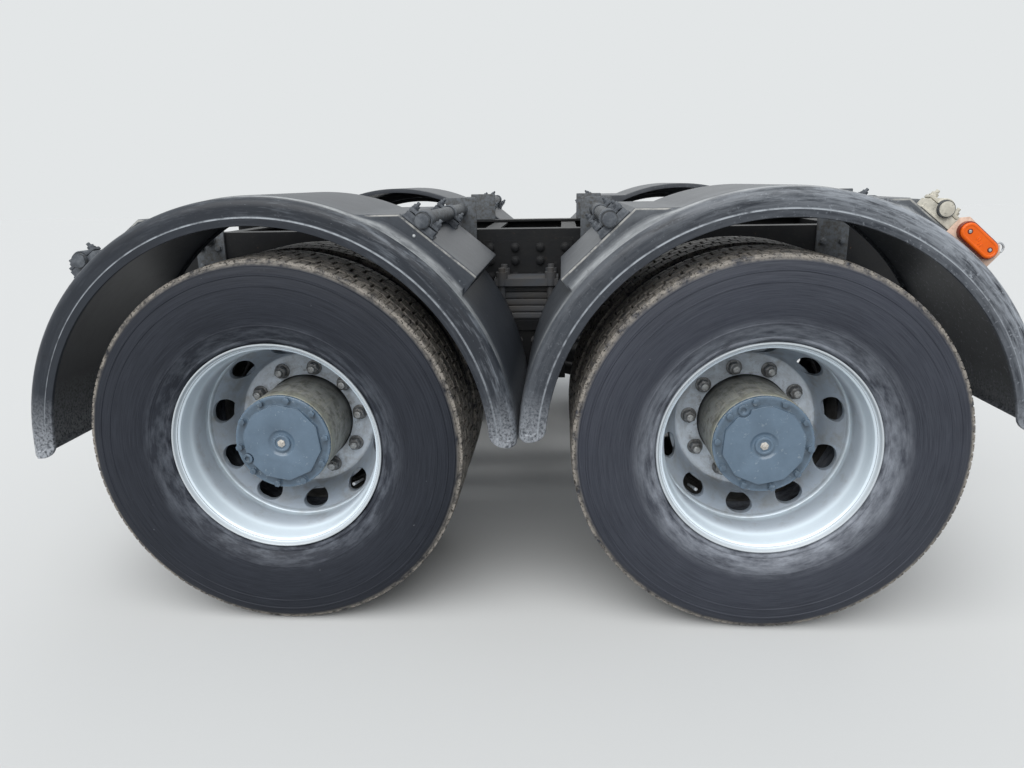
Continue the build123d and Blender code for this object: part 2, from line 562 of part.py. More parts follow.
nearest_tube = min(abs(pad_point(AXLE_X[name], angle, GUARD_RADIUS[name] + rise + over, along)[0])
                   for name, angle, rise, _, (over, along) in GUARD_PADS)
top_end = nearest_tube - TUBE_BRACKET_WIDTH / 2 - BRACKET_ARM_GAP
lower_eye_z = TRUNNION_HEIGHT - LOWER_ROD_DROP
brackets, saddles, clamps = [], [], []
for side in (RIGHT, LEFT):
    face = RAIL_OUTER + BRACKET_THICKNESS
    outline = Polyline([
        (-top_end, RAIL_BOTTOM + BRACKET_LAP), (top_end, RAIL_BOTTOM + BRACKET_LAP),
        (top_end, RAIL_BOTTOM), (BRACKET_FOOT_RADIUS, TRUNNION_HEIGHT),
        (-BRACKET_FOOT_RADIUS, TRUNNION_HEIGHT), (-top_end, RAIL_BOTTOM)], close=True)
    bracket = slab(outline, (side * RAIL_OUTER, side * face))
    bracket += cross_rod(0, TRUNNION_HEIGHT, (side * (RAIL_OUTER - 40), side * face),
                         BRACKET_FOOT_RADIUS)
    # Tie from the foot to the ears of the lower torque rods
    ear_in = LOWER_ROD_Y - EYE_WIDTH / 2 - EAR_THICKNESS
    bracket += cross_rod(0, TRUNNION_HEIGHT, (side * ear_in, side * face), TRUNNION_RADIUS + 22)
    ear_x = LOWER_ROD_BRACKET_X + EYE_RADIUS
    for low in (ear_in, LOWER_ROD_Y + EYE_WIDTH / 2):
        bracket += slab(Polyline([
            (-TRUNNION_RADIUS, TRUNNION_HEIGHT), (TRUNNION_RADIUS, TRUNNION_HEIGHT),
            (ear_x, lower_eye_z + EYE_RADIUS), (ear_x, lower_eye_z - EYE_RADIUS),
            (-ear_x, lower_eye_z - EYE_RADIUS), (-ear_x, lower_eye_z + EYE_RADIUS)],
            close=True), (side * low, side * (low + EAR_THICKNESS)))
    bracket -= cross_rod(0, TRUNNION_HEIGHT, (0, side * 2 * SPRING_CENTRE), TRUNNION_RADIUS + FIT)
    brackets.append(bracket)

    inner = SPRING_CENTRE - CLAMP_ROD_Y - CLAMP_ROD_RADIUS - CLAMP_ROD_CLEARANCE
    outer = SPRING_CENTRE + CLAMP_ROD_Y + CLAMP_ROD_RADIUS + CLAMP_ROD_CLEARANCE
    edge, seat_z = SADDLE_HALF_LENGTH, SPRING_SEAT - FIT
    edge_z = spring_z(edge) - FIT
    top = [
        ThreePointArc((-edge, edge_z), (0, seat_z), (edge, edge_z)),
        Line((edge, edge_z), (edge, seat_z - SADDLE_PLATE)),
        Line((edge, seat_z - SADDLE_PLATE), (-edge, seat_z - SADDLE_PLATE)),
        Line((-edge, seat_z - SADDLE_PLATE), (-edge, edge_z)),
    ]
    saddle = slab(top, (side * inner, side * outer))
    hub_y = (side * (face + FIT), side * (SPRING_CENTRE + SPRING_WIDTH / 2 + CHEEK_THICKNESS))
    saddle += cross_rod(0, TRUNNION_HEIGHT, hub_y, SADDLE_RADIUS)
    neck = CLAMP_ROD_X - CLAMP_NUT_RADIUS - CLAMP_ROD_CLEARANCE
    saddle += block((-neck, neck), hub_y, (TRUNNION_HEIGHT, seat_z - SADDLE_PLATE))
    saddle -= cross_rod(0, TRUNNION_HEIGHT, (0, side * 2 * SPRING_CENTRE), TRUNNION_RADIUS + FIT)

    plate_z = SPRING_SEAT + SPRING_PACK
    clamp = block((-edge, edge), (side * inner, side * outer),
                  (plate_z, plate_z + CLAMP_PLATE_THICKNESS))
    bottom = seat_z - SADDLE_PLATE
    tip = plate_z + CLAMP_PLATE_THICKNESS + CLAMP_NUT_HEIGHT + CLAMP_ROD_TIP
    for x in (-CLAMP_ROD_X, CLAMP_ROD_X):
        for dy in (-CLAMP_ROD_Y, CLAMP_ROD_Y):
            y = side * (SPRING_CENTRE + dy)
            saddle -= rod((x, y, bottom - CLAMP_ROD_RELIEF), (x, y, seat_z + 1),
                          CLAMP_ROD_RADIUS + FIT)
            clamp += rod((x, y, bottom - CLAMP_NUT_HEIGHT), (x, y, tip), CLAMP_ROD_RADIUS)
            clamp += rod((x, y, bottom - CLAMP_NUT_HEIGHT), (x, y, bottom), CLAMP_NUT_RADIUS)
            clamp += rod((x, y, plate_z + 1), (x, y, tip - CLAMP_ROD_TIP), CLAMP_NUT_RADIUS)
    saddles.append(saddle)
    clamps.append(clamp)

trunnion_end = SPRING_CENTRE + SPRING_WIDTH / 2 + CHEEK_THICKNESS
trunnion = cross_rod(0, TRUNNION_HEIGHT, (-trunnion_end, trunnion_end), TRUNNION_RADIUS)
for side in (RIGHT, LEFT):
    trunnion += cross_rod(0, TRUNNION_HEIGHT,
                          (side * trunnion_end, side * (trunnion_end + TRUNNION_CAP_THICKNESS)),
                          TRUNNION_CAP_RADIUS)
parts["trunnion_brackets"] = brackets
parts["trunnion_shaft"] = trunnion
parts["spring_saddles"] = saddles
parts["leaf_springs"] = [leaf_spring(side) for side in (RIGHT, LEFT)]
parts["spring_clamps"] = clamps


# Torque rods: two low ones to each axle, and one V-shaped one over each axle's casing

torque_rods = []
for axle_name, axle_x in AXLE_X.items():
    toward = 1 if axle_x > 0 else -1
    for side in (RIGHT, LEFT):
        y = side * LOWER_ROD_Y
        eye_y = (y - EYE_WIDTH / 2, y + EYE_WIDTH / 2)
        near = (toward * LOWER_ROD_BRACKET_X, lower_eye_z)
        far = (axle_x - toward * (BEAM_WIDTH / 2 + LOWER_ROD_AXLE_GAP + EYE_RADIUS),
               HUB_HEIGHT - LOWER_ROD_AXLE_DROP)
        link = rod((near[0], y, near[1]), (far[0], y, far[1]), ROD_RADIUS)
        for x, z in (near, far):
            link += cross_rod(x, z, eye_y, EYE_RADIUS)
        torque_rods.append(link)
    apex_z = HUB_HEIGHT + CASING_RADIUS + UPPER_ROD_APEX_HEIGHT
    apex = (axle_x, 0, apex_z)
    vee = Pos(*apex) * Cylinder(EYE_RADIUS, EYE_WIDTH)
    for side in (RIGHT, LEFT):
        foot = (toward * UPPER_ROD_FRAME_X, side * UPPER_ROD_FRAME_Y, UPPER_ROD_FRAME_Z)
        vee += rod(apex, foot, ROD_RADIUS)
        vee += rod((foot[0], side * (UPPER_ROD_FRAME_Y - EYE_WIDTH / 2), foot[2]),
                   (foot[0], side * RAIL_WEB_INNER, foot[2]), EYE_RADIUS)
    torque_rods.append(vee)
parts["torque_rods"] = torque_rods


# Brake chambers on plates behind and before the axle beams

chambers = []
for axle_x in AXLE_X.values():
    away = 1 if axle_x > 0 else -1
    for side in (RIGHT, LEFT):
        start = axle_x + away * (BEAM_WIDTH / 2)
        face = start + away * CHAMBER_STAND_OFF
        y, z = side * CHAMBER_Y, HUB_HEIGHT + CHAMBER_RISE
        low_z = HUB_HEIGHT - BEAM_HEIGHT / 2 + BEAM_CORNER
        arm = block((start, face), (y - CHAMBER_BRACKET, y + CHAMBER_BRACKET),
                    (low_z, HUB_HEIGHT + BEAM_HEIGHT / 2 - BEAM_CORNER))
        arm += block((face, face + away * CHAMBER_BRACKET),
                     (y - CHAMBER_RADIUS * 0.8, y + CHAMBER_RADIUS * 0.8), (low_z, z + 40))
        arm += rod((face, y, z), (face + away * CHAMBER_LENGTH, y, z), CHAMBER_RADIUS * 0.86)
        arm += rod((face + away * CHAMBER_LENGTH * 0.45, y, z),
                   (face + away * CHAMBER_LENGTH * 0.6, y, z), CHAMBER_RADIUS)
        chambers.append(arm)
parts["brake_chambers"] = chambers


# Mudguards, their tubes and clamps, and the marker lamps

def pad_block(axle_x, angle, out, along, y):
    """Box laid on a pad: (low, high) limits outward, along the pad and across it."""
    order = ((0, 0), (0, 1), (1, 1), (1, 0))
    corners = [pad_point(axle_x, angle, out[i], along[j]) for i, j in order]
    return slab(Polyline(corners, close=True), y)


def pad_solid(axle_x, guard_x, angle, out, ends, y):
    """Raised pad: upright at its low end, flat, and level from its high end into the guard."""
    high = pad_point(axle_x, angle, out[1], ends[1])
    corners = [pad_point(axle_x, angle, out[0], ends[0]), pad_point(axle_x, angle, out[1], ends[0]),
               high, (guard_x, high[1])]
    return slab(Polyline(corners, close=True), y)


def guard_section(radius):
    """Section of a mudguard: inner lip, skin, rounded shoulder, face and its raised border."""
    face = GUARD_OUTER_EDGE - GUARD_BORDER_STANDOUT
    shoulder, wall = GUARD_SHOULDER, GUARD_WALL
    edge = radius - GUARD_FACE_DEPTH
    border = edge + GUARD_BORDER
    return [
        (radius - GUARD_INNER_LIP, GUARD_INNER_EDGE), (radius, GUARD_INNER_EDGE),
        (radius, face - shoulder), (radius - shoulder * 0.3, face - shoulder * 0.3),
        (radius - shoulder, face), (border + 2, face), (border, GUARD_OUTER_EDGE),
        (edge, GUARD_OUTER_EDGE), (edge, face - wall), (radius - shoulder - 2, face - wall),
        (radius - wall - shoulder * 0.3, face - shoulder * 0.3 - wall),
        (radius - wall, face - shoulder - 1), (radius - wall, GUARD_INNER_EDGE + wall),
        (radius - GUARD_INNER_LIP, GUARD_INNER_EDGE + wall),
    ]


arms, guard_clamps = [], []
for side_name, side in SIDES.items():
    for axle_name, axle_x in AXLE_X.items():
        beyond, guard_z, _, first, last = GUARDS[axle_name]
        radius = GUARD_RADIUS[axle_name]
        guard_x = axle_x + beyond
        guard = Pos(guard_x, 0, guard_z) * Rot(0, -first, 0) * ring(
            guard_section(radius), side, arc=last - first)
        hollow = cross_rod(guard_x, guard_z, (0, side * 2 * GUARD_OUTER_EDGE), radius - GUARD_WALL)
        for pad_axle, angle, rise, ends, (tube_over, tube_along) in GUARD_PADS:
            if pad_axle != axle_name:
                continue
            flat = radius + rise
            tube_out = flat + tube_over
            pad = pad_solid(axle_x, guard_x, angle, (radius - PAD_ROOT, flat), ends,
                            (side * GUARD_INNER_EDGE, side * PAD_OUTER_END))
            guard += pad - hollow

            x, z = pad_point(axle_x, angle, tube_out, tube_along)
            start = RAIL_OUTER + TUBE_BRACKET_THICKNESS
            arm = block((x - TUBE_BRACKET_WIDTH / 2, x + TUBE_BRACKET_WIDTH / 2),
                        (side * RAIL_OUTER, side * start),
                        (TUBE_BRACKET_FOOT, z + TUBE_BRACKET_RISE))
            arm += cross_rod(x, z, (side * (start - 1), side * TUBE_END), TUBE_RADIUS)
            arm -= cross_rod(x, z, (side * start, side * (TUBE_END - TUBE_CAP)),
                             TUBE_RADIUS - TUBE_WALL)
            arms.append(arm)

            base = (tube_along - CLAMP_LENGTH / 2, tube_along + CLAMP_LENGTH / 2)
            ears = (tube_along - CLAMP_EAR_LENGTH / 2, tube_along + CLAMP_EAR_LENGTH / 2)
            strap = (tube_out - STRAP_THICKNESS, tube_out + STRAP_THICKNESS)
            for y in GUARD_CLAMP_Y:
                wide = (side * (y - CLAMP_WIDTH / 2), side * (y + CLAMP_WIDTH / 2))
                slim = (side * (y - STRAP_WIDTH / 2), side * (y + STRAP_WIDTH / 2))
                clamp = pad_block(axle_x, angle, (flat, tube_out - STRAP_THICKNESS / 2), base, wide)
                clamp += pad_block(axle_x, angle, strap, ears, slim)
                ring_round = cross_rod(x, z, slim, TUBE_RADIUS + FIT + STRAP_THICKNESS)
                clamp += ring_round - pad_block(axle_x, angle, (0, flat), base, wide)
                guard_clamps.append(clamp - cross_rod(x, z, (0, side * 2 * y), TUBE_RADIUS + FIT))
        parts[f"mudguard_{axle_name}_{side_name}"] = guard
parts["guard_arms"] = arms
parts["guard_clamps"] = guard_clamps

beyond, guard_z, _, _, _ = GUARDS["front"]
radius = GUARD_RADIUS["front"]
foot = radius + LAMP_PLATE_FOOT
top = foot + LAMP_PLATE_HEIGHT
low, high = LAMP_PLATE_SHIFT - LAMP_PLATE_LENGTH / 2, LAMP_PLATE_SHIFT + LAMP_PLATE_LENGTH / 2
clip = LAMP_PLATE_CLIP
corners = [(foot, low), (foot, high), (top - clip, high), (top, high - clip),
           (top, low + clip), (top - clip, low)]
outline = Polyline([pad_point(AXLE_X["front"], LAMP_ANGLE, *c) for c in corners], close=True)
lens_out = top - LENS_MARGIN - LENS_HEIGHT / 2
x, z = pad_point(AXLE_X["front"], LAMP_ANGLE, lens_out, LAMP_PLATE_SHIFT)
plate_face = PAD_OUTER_END + LAMP_PLATE_THICKNESS

lamp_plates, lamps = [], []
for side in (RIGHT, LEFT):
    guard_skin = cross_rod(AXLE_X["front"] + beyond, guard_z, (0, side * 2 * PAD_OUTER_END), radius)
    lamp_plates.append(slab(outline, (side * PAD_OUTER_END, side * plate_face)) - guard_skin)

    lens = extrude(SlotOverall(LENS_LENGTH, LENS_HEIGHT), LENS_DEPTH)
    lens = chamfer(lens.faces().sort_by(Axis.Z)[-1].edges(), LENS_DEPTH * 0.3)
    lens = Rot(90 if side == RIGHT else -90, 0, 0) * lens
    lamps.append(Pos(x, side * plate_face, z) * Rot(0, 90 - LAMP_ANGLE, 0) * lens)
parts["lamp_brackets"] = lamp_plates
parts["marker_lamps"] = lamps


os.makedirs("parts", exist_ok=True)
for node, shapes in parts.items():
    shapes = shapes if isinstance(shapes, list) else [shapes]
    solids = [solid for shape in shapes for solid in shape.solids()]
    export_step(solids[0] if len(solids) == 1 else Compound(solids), f"parts/{node}.step")
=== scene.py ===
"""Shapes and finishes of a refuse lorry's tandem drive-axle bogie.

Metres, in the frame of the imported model: +X forward, +Y to the left, +Z up.
"""

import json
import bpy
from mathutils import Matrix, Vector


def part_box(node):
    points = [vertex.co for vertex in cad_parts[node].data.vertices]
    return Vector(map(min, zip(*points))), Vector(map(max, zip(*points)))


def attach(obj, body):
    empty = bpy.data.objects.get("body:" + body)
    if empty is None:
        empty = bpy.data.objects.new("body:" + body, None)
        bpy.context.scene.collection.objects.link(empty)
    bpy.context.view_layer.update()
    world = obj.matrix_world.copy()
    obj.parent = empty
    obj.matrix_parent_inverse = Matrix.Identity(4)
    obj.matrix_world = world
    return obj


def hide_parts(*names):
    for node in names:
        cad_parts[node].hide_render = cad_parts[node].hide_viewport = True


bl_info = {
    "name": "Tandem bogie",
    "version": (1, 0, 0),
    "blender": (4, 5, 0),
    "location": "View3D > Sidebar > Bogie",
    "description": "Models and finishes a lorry's twin-wheel tandem bogie with its mudguards",
    "category": "Object",
}

from contextlib import contextmanager
from functools import partial
from math import asin, atan2, cos, hypot, pi, radians, sin, sqrt, tau

import bpy
from bpy.props import FloatProperty, FloatVectorProperty, IntProperty, PointerProperty
from bpy.types import Operator, Panel, PropertyGroup
from mathutils import Matrix, Vector

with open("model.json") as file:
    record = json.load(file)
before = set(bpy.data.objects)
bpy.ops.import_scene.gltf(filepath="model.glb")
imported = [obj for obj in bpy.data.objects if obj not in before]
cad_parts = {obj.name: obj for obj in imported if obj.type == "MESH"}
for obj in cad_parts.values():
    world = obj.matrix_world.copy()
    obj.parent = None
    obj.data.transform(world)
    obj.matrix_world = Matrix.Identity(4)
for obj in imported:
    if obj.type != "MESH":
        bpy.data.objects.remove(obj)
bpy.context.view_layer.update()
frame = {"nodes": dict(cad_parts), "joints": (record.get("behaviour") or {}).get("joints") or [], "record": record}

MM = 0.001
CHASSIS = "chassis"
UNMOVED = Matrix.Identity(4)
MIRROR = Matrix.Scale(-1, 4, (0, 1, 0))
# Pieces are modelled for the lorry's right, and these matrices put them on either side
SIDES = {"right": UNMOVED, "left": MIRROR}
WHEELS = {
    joint["child"].removeprefix("wheel_"): Vector(joint["pos_m"]) for joint in frame["joints"]
}
HUB_HEIGHT = WHEELS["front_right"].z
AXLE_X = {"rear": WHEELS["rear_right"].x, "front": WHEELS["front_right"].x}
DISC_PLANE = abs(WHEELS["front_right"].y)
# Degrees from +X towards +Z to each wheel's first nut
WHEEL_TURN = {"rear_right": -173, "front_right": 103.5, "rear_left": 31, "front_left": -68}


# Modelling helpers

def deselect():
    bpy.ops.object.select_all(action="DESELECT")


def activate(*pieces):
    """Selects these pieces alone, the first one active."""
    deselect()
    for piece in pieces:
        piece.select_set(True)
    bpy.context.view_layer.objects.active = pieces[0]


def primitive(kind, name, **where):
    """New primitive, named, with nothing else selected."""
    deselect()
    getattr(bpy.ops.mesh, f"primitive_{kind}_add")(**where)
    piece = bpy.context.active_object
    piece.name = piece.data.name = name
    return piece


@contextmanager
def editing(piece, pick=None):
    """Edit mode on one piece, with all faces selected, or those that pick(face) accepts."""
    activate(piece)
    mesh = piece.data
    bpy.context.tool_settings.mesh_select_mode = (False, False, True)
    for group in (mesh.vertices, mesh.edges, mesh.polygons):
        group.foreach_set("select", [False] * len(group))
    for face in mesh.polygons:
        face.select = pick is None or pick(face)
    bpy.ops.object.mode_set(mode="EDIT")
    if pick is None:
        bpy.context.tool_settings.mesh_select_mode = (True, False, False)
        bpy.ops.mesh.select_all(action="SELECT")
    yield
    bpy.ops.object.mode_set(mode="OBJECT")


def settle(piece):
    """Puts the piece's place into its mesh."""
    activate(piece)
    bpy.ops.object.transform_apply(location=True, rotation=True, scale=True)
    return piece


def modified(piece, kind, **settings):
    """Adds a modifier and applies it."""
    activate(piece)
    modifier = piece.modifiers.new(kind.title(), kind)
    for key, value in settings.items():
        setattr(modifier, key, value)
    bpy.ops.object.modifier_apply(modifier=modifier.name)
    return piece


def bevelled(piece, width, segments=2, angle=30):
    """Rounds the edges that are sharper than an angle."""
    return modified(piece, "BEVEL", width=width, segments=segments, limit_method="ANGLE",
                    angle_limit=radians(angle))


def smooth(piece, angle=32):
    activate(piece)
    bpy.ops.object.shade_smooth_by_angle(angle=radians(angle))
    return piece


def cut(piece, cutter):
    """Takes the cutter out of the piece."""
    modified(piece, "BOOLEAN", object=cutter, operation="DIFFERENCE", solver="EXACT")
    bpy.data.objects.remove(cutter)
    return piece


def joined(name, pieces):
    """One piece made of several."""
    activate(*pieces)
    if len(pieces) > 1:
        bpy.ops.object.join()
    piece = bpy.context.active_object
    piece.name = piece.data.name = name
    return piece


def copied(piece, name, place=UNMOVED):
    """Copy with its own mesh, moved, turned or mirrored by a matrix in its mesh."""
    activate(piece)
    bpy.ops.object.duplicate(linked=False)
    copy = bpy.context.active_object
    copy.name = copy.data.name = name
    copy.matrix_world = place @ copy.matrix_world
    settle(copy)
    if place.determinant() < 0:
        outward(copy)
    return copy


def outward(piece):
    """Points the faces of a closed piece outwards."""
    with editing(piece):
        bpy.ops.mesh.normals_make_consistent(inside=False)
    return piece


def outline(name, points):
    """Closed line through the points, from a circle with as many corners."""
    piece = primitive("circle", name, vertices=len(points), fill_type="NOTHING")
    for vertex, point in zip(piece.data.vertices, points):
        vertex.co = point
    return piece


def turned(name, rows, steps=128, arc=tau):
    """Piece spun about the Y axis from rows of (radius, distance from the centre plane), in mm.

    It faces the lorry's right. Less than a full turn starts at +X and goes up over +Z.
    """
    piece = outline(name, [(r * MM, -s * MM, 0) for r, s in rows])
    with editing(piece):
        bpy.ops.mesh.spin(steps=steps, angle=arc, center=(0, 0, 0), axis=(0, 1, 0))
        bpy.ops.mesh.select_all(action="SELECT")
        bpy.ops.mesh.remove_doubles(threshold=1e-6)
        bpy.ops.mesh.fill_holes(sides=0)
    return outward(piece)


def raised(name, points, along, steps=()):
    """Filled outline drawn along a vector, and its end then in steps of (inset, rise along Z)."""
    piece = outline(name, points)
    with editing(piece):
        bpy.ops.mesh.edge_face_add()
        bpy.ops.mesh.extrude_region_move(TRANSFORM_OT_translate={"value": along})
        for inset, rise in steps:
            bpy.ops.mesh.inset(thickness=inset)
            bpy.ops.transform.translate(value=(0, 0, rise))
    return outward(piece)


def slab(name, points, y):
    """Plate with an outline in the XZ plane, between two distances along Y."""
    return raised(name, [(px, y[0], pz) for px, pz in points], (0, y[1] - y[0], 0))


def bar(name, start, end, radius, vertices=32):
    """Round bar from point to point."""
    start, end = Vector(start), Vector(end)
    run = end - start
    turn = run.to_track_quat("Z", "Y").to_euler()
    return settle(primitive("cylinder", name, vertices=vertices, radius=radius, depth=run.length,
                            location=(start + end) / 2, rotation=turn))


def brick(name, low, high):
    """Block between two corners."""
    low, high = Vector(low), Vector(high)
    piece = primitive("cube", name, size=1, location=(low + high) / 2)
    piece.scale = high - low
    return settle(piece)


def round_the_axle(piece, count, start=0.0):
    """Repeats a piece evenly about the Y axis, in one mesh."""
    with editing(piece):
        if start:
            bpy.ops.transform.rotate(value=start, orient_axis="Y", center_override=(0, 0, 0))
        bpy.ops.mesh.spin(steps=count - 1, dupli=True, angle=tau * (count - 1) / count,
                          center=(0, 0, 0), axis=(0, 1, 0))
    return piece


def frame_along(origin, out, across=(0, 1, 0)):
    """Matrix that puts +Z along out and keeps +Y along across, at a point."""
    out = Vector(out).normalized()
    across = Vector(across)
    side = across.cross(out).normalized()
    turn = Matrix((side, out.cross(side), out)).transposed().to_4x4()
    return Matrix.Translation(origin) @ turn


def hex_bolt(name, across, head, stud=0.0, stud_radius=0.0, washer=0.0):
    """Bolt head or nut standing on the XY plane, with a washer under it and a stud end over it."""
    low = head * 0.2 if washer else 0.0
    high = low + head
    # Corners, radius, lowest and highest level, and bevel of each part; the small measures are
    # shares of the large ones
    parts = [(6, across / sqrt(3), low, high, across * 0.06)]
    if washer:
        parts.insert(0, (28, washer, 0.0, head * 0.22, head * 0.05))
    if stud:
        parts.append((20, stud_radius, high - MM, high - MM + stud, stud_radius * 0.22))
    pieces = [bevelled(bar(name, (0, 0, foot), (0, 0, top), radius, corners), bevel)
              for corners, radius, foot, top, bevel in parts]
    return smooth(joined(name, pieces))


def ring_of_places(middle, radius, count):
    """Places evenly on a circle about the Z axis of the place in its middle."""
    return [middle @ Matrix.Translation((radius * cos(t), radius * sin(t), 0))
            for t in (tau * i / count for i in range(count))]


def onto(piece, places):
    """Copies of a piece at several matrices, joined; the pattern piece is used up."""
    name = piece.name
    copies = [copied(piece, name, place) for place in places]
    bpy.data.objects.remove(piece)
    return joined(name, copies)


def fitted(piece, body, slot, look, *nodes):
    """Gives a finished piece its material, hangs it under the empty of the body it rides on, and hides the solid
    model's pieces that it stands for.
    """
    piece.data.materials.clear()
    piece.data.materials.append(finish(look))
    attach(piece, body)
    if nodes:
        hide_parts(*nodes)


def fitted_both_sides(piece, slot, look, *nodes):
    """Fits a piece of the right-hand side to the chassis, and its mirror image too."""
    left = copied(piece, piece.name.removesuffix("_right") + "_left", MIRROR)
    for each in (piece, left):
        fitted(each, CHASSIS, slot, look, *nodes)


def facing_right(*point):
    """Matrix that turns a piece's top to the lorry's right, at a point."""
    return frame_along(point, (0, -1, 0), (0, 0, 1))


def wheel_matrix(wheel):
    """Place of a wheel's pieces, which are modelled about the origin and face the right."""
    centre = WHEELS[wheel]
    turn = Matrix.Rotation(radians(-WHEEL_TURN[wheel]), 4, "Y")
    return Matrix.Translation((centre.x, 0, centre.z)) @ turn @ SIDES[wheel.split("_")[1]]


# Finishes

def linear(code):
    """sRGB hex colour as the linear values that a shader takes."""
    channels = [int(code[i:i + 2], 16) / 255 for i in (1, 3, 5)]
    return (*(c / 12.92 if c <= 0.04045 else ((c + 0.055) / 1.055) ** 2.4 for c in channels), 1.0)


def add_node(tree, kind, *values, out=0, **settings):
    """Adds a node with its settings, and gives one of its outputs, or all if out is None.

    Its inputs are set or linked in order, or by one dict of them. Hex codes become colours.
    """
    node = tree.nodes.new("ShaderNode" + kind)
    for key, value in settings.items():
        setattr(node, key, value)
    by_name = values and isinstance(values[0], dict)
    for key, value in values[0].items() if by_name else enumerate(values):
        if isinstance(value, bpy.types.NodeSocket):
            tree.links.new(value, node.inputs[key])
        else:
            node.inputs[key].default_value = linear(value) if isinstance(value, str) else value
    return node.outputs if out is None else node.outputs[out]


class Finish:
    """Material under way: its colour so far, and the coordinates in metres that its coats go by.

    With a ring's size, it has coordinates round the hubs, or round one axle's guards: places
    as on a ring of that size, the true radius, the distance from the centre plane, and how far
    forward and up a place is on the ring.
    """

    def __init__(self, name, base, size=None, axle=None):
        self.material = bpy.data.materials.new(name)
        self.material.use_nodes = True
        self.material.node_tree.nodes.clear()
        self.add = add = partial(add_node, self.material.node_tree)
        self.where = add("TexCoord", out="Object")
        self.colour = base
        if size is None:
            return
        along, side, height = add("SeparateXYZ", self.where, out=None)
        if axle is None:
            along = add("Math", along, operation="ABSOLUTE")
        x, _, z = WHEELS["front_right"] if axle is None else guard_centre(axle)
        run = add("CombineXYZ", add("Math", along, x, operation="SUBTRACT"),
                  add("Math", height, z, operation="SUBTRACT"))
        self.radius = add("VectorMath", run, out="Value", operation="LENGTH")
        heading = add("VectorMath", run, operation="NORMALIZE")
        ring = add("VectorMath", {0: heading, "Scale": size}, operation="SCALE")
        self.forward, self.up, _ = add("SeparateXYZ", ring, out=None)
        self.ring = add("CombineXYZ", self.forward, self.up, side)
        self.side = add("Math", side, operation="ABSOLUTE")

    def coat(self, over, grain=None, cover=0.5, soft=0.08, limits=(), detail=8.0, thin=None,
             where=None):
        """Lays a colour over what is there, and gives its mask.

        It covers what all the limits allow. With a grain, it lies in patches of that size in
        metres, on the given share of the ground. With thin, the patches are streaks round the
        ring, that many times as fine along the radius.
        """
        masks = list(limits)
        if grain is not None:
            inputs = {"Vector": where or self.where, "Scale": 1 / grain, "Detail": detail,
                      "Roughness": 0.68}
            if thin is not None:
                inputs["Vector"] = self.ring
                inputs["W"] = self.add("Math", self.radius, thin, operation="MULTIPLY")
            noise = self.add("TexNoise", inputs, noise_dimensions="3D" if thin is None else "4D")
            middle = 0.5 + (0.5 - cover) * 0.5
            masks.insert(0, self.add("MapRange", noise, middle - soft, middle + soft))
        mask = masks[0]
        for limit in masks[1:]:
            mask = self.add("Math", mask, limit, operation="MULTIPLY")
        self.colour = self.add("Mix", {0: mask, 6: self.colour, 7: over}, out=2, data_type="RGBA")
        return mask

    def end(self, roughness, bump, fixed=()):
        """Closes the material with its shader.

        roughness is one number, or a mask and the values at its two ends. bump rows are grain
        and height in metres, coarse to fine, and fixed holds numbers for the shader's sockets.
        """
        if isinstance(roughness, tuple):
            mask, clear, covered = roughness
            roughness = self.add("MapRange", mask, 0, 1, clear, covered)
        inputs = {"Base Color": self.colour, "Roughness": roughness, **dict(fixed)}
        for grain, height in bump:
            noise = self.add("TexNoise", {"Vector": self.where, "Scale": 1 / grain, "Detail": 4.0})
            under = {"Normal": inputs["Normal"]} if "Normal" in inputs else {}
            inputs["Normal"] = self.add("Bump", {"Height": noise, "Distance": height,
                                                 "Strength": 1.0, **under})
        self.add("OutputMaterial", self.add("BsdfPrincipled", inputs), out=None)
        return self.material


def tyre_rubber(name, base, worn, dust, bead_dust, lime):
    """Vulcanised rubber: near black, bluish and matt, greyed by road dust at bead and tread."""
    paint = Finish(name, base, 0.45)
    near_rim = paint.add("MapRange", paint.radius, 0.372, 0.306)
    near_tread = paint.add("MapRange", paint.radius, 0.509, 0.519)
    paint.coat(worn, 0.30, 0.5, soft=0.22)
    # Wiping and scuffing leave faint streaks round the tyre, a millimetre or two wide
    paint.coat(dust, 0.09, 0.22, soft=0.3, detail=5, thin=40)
    paint.coat(dust, 0.07, bead_dust, soft=0.25, limits=[near_rim])
    paint.coat(lime, 0.11, bead_dust, soft=0.16, limits=[near_rim], detail=12, thin=6)
    # Brown road dust, with a ragged rim at the shoulder
    paint.coat("#96918A", 0.030, 0.62, soft=0.10, limits=[near_tread], detail=12)
    paint.coat("#2A2825", 0.007, 0.36, soft=0.04, limits=[near_tread])
    scuff = paint.coat("#74777D", 0.02, 0.06, soft=0.04, detail=10)
    return paint.end((scuff, 0.55, 0.85), [(0.03, 0.0005), (0.003, 0.0002)],
                     {"IOR": 1.5, "Specular IOR Level": 0.2})


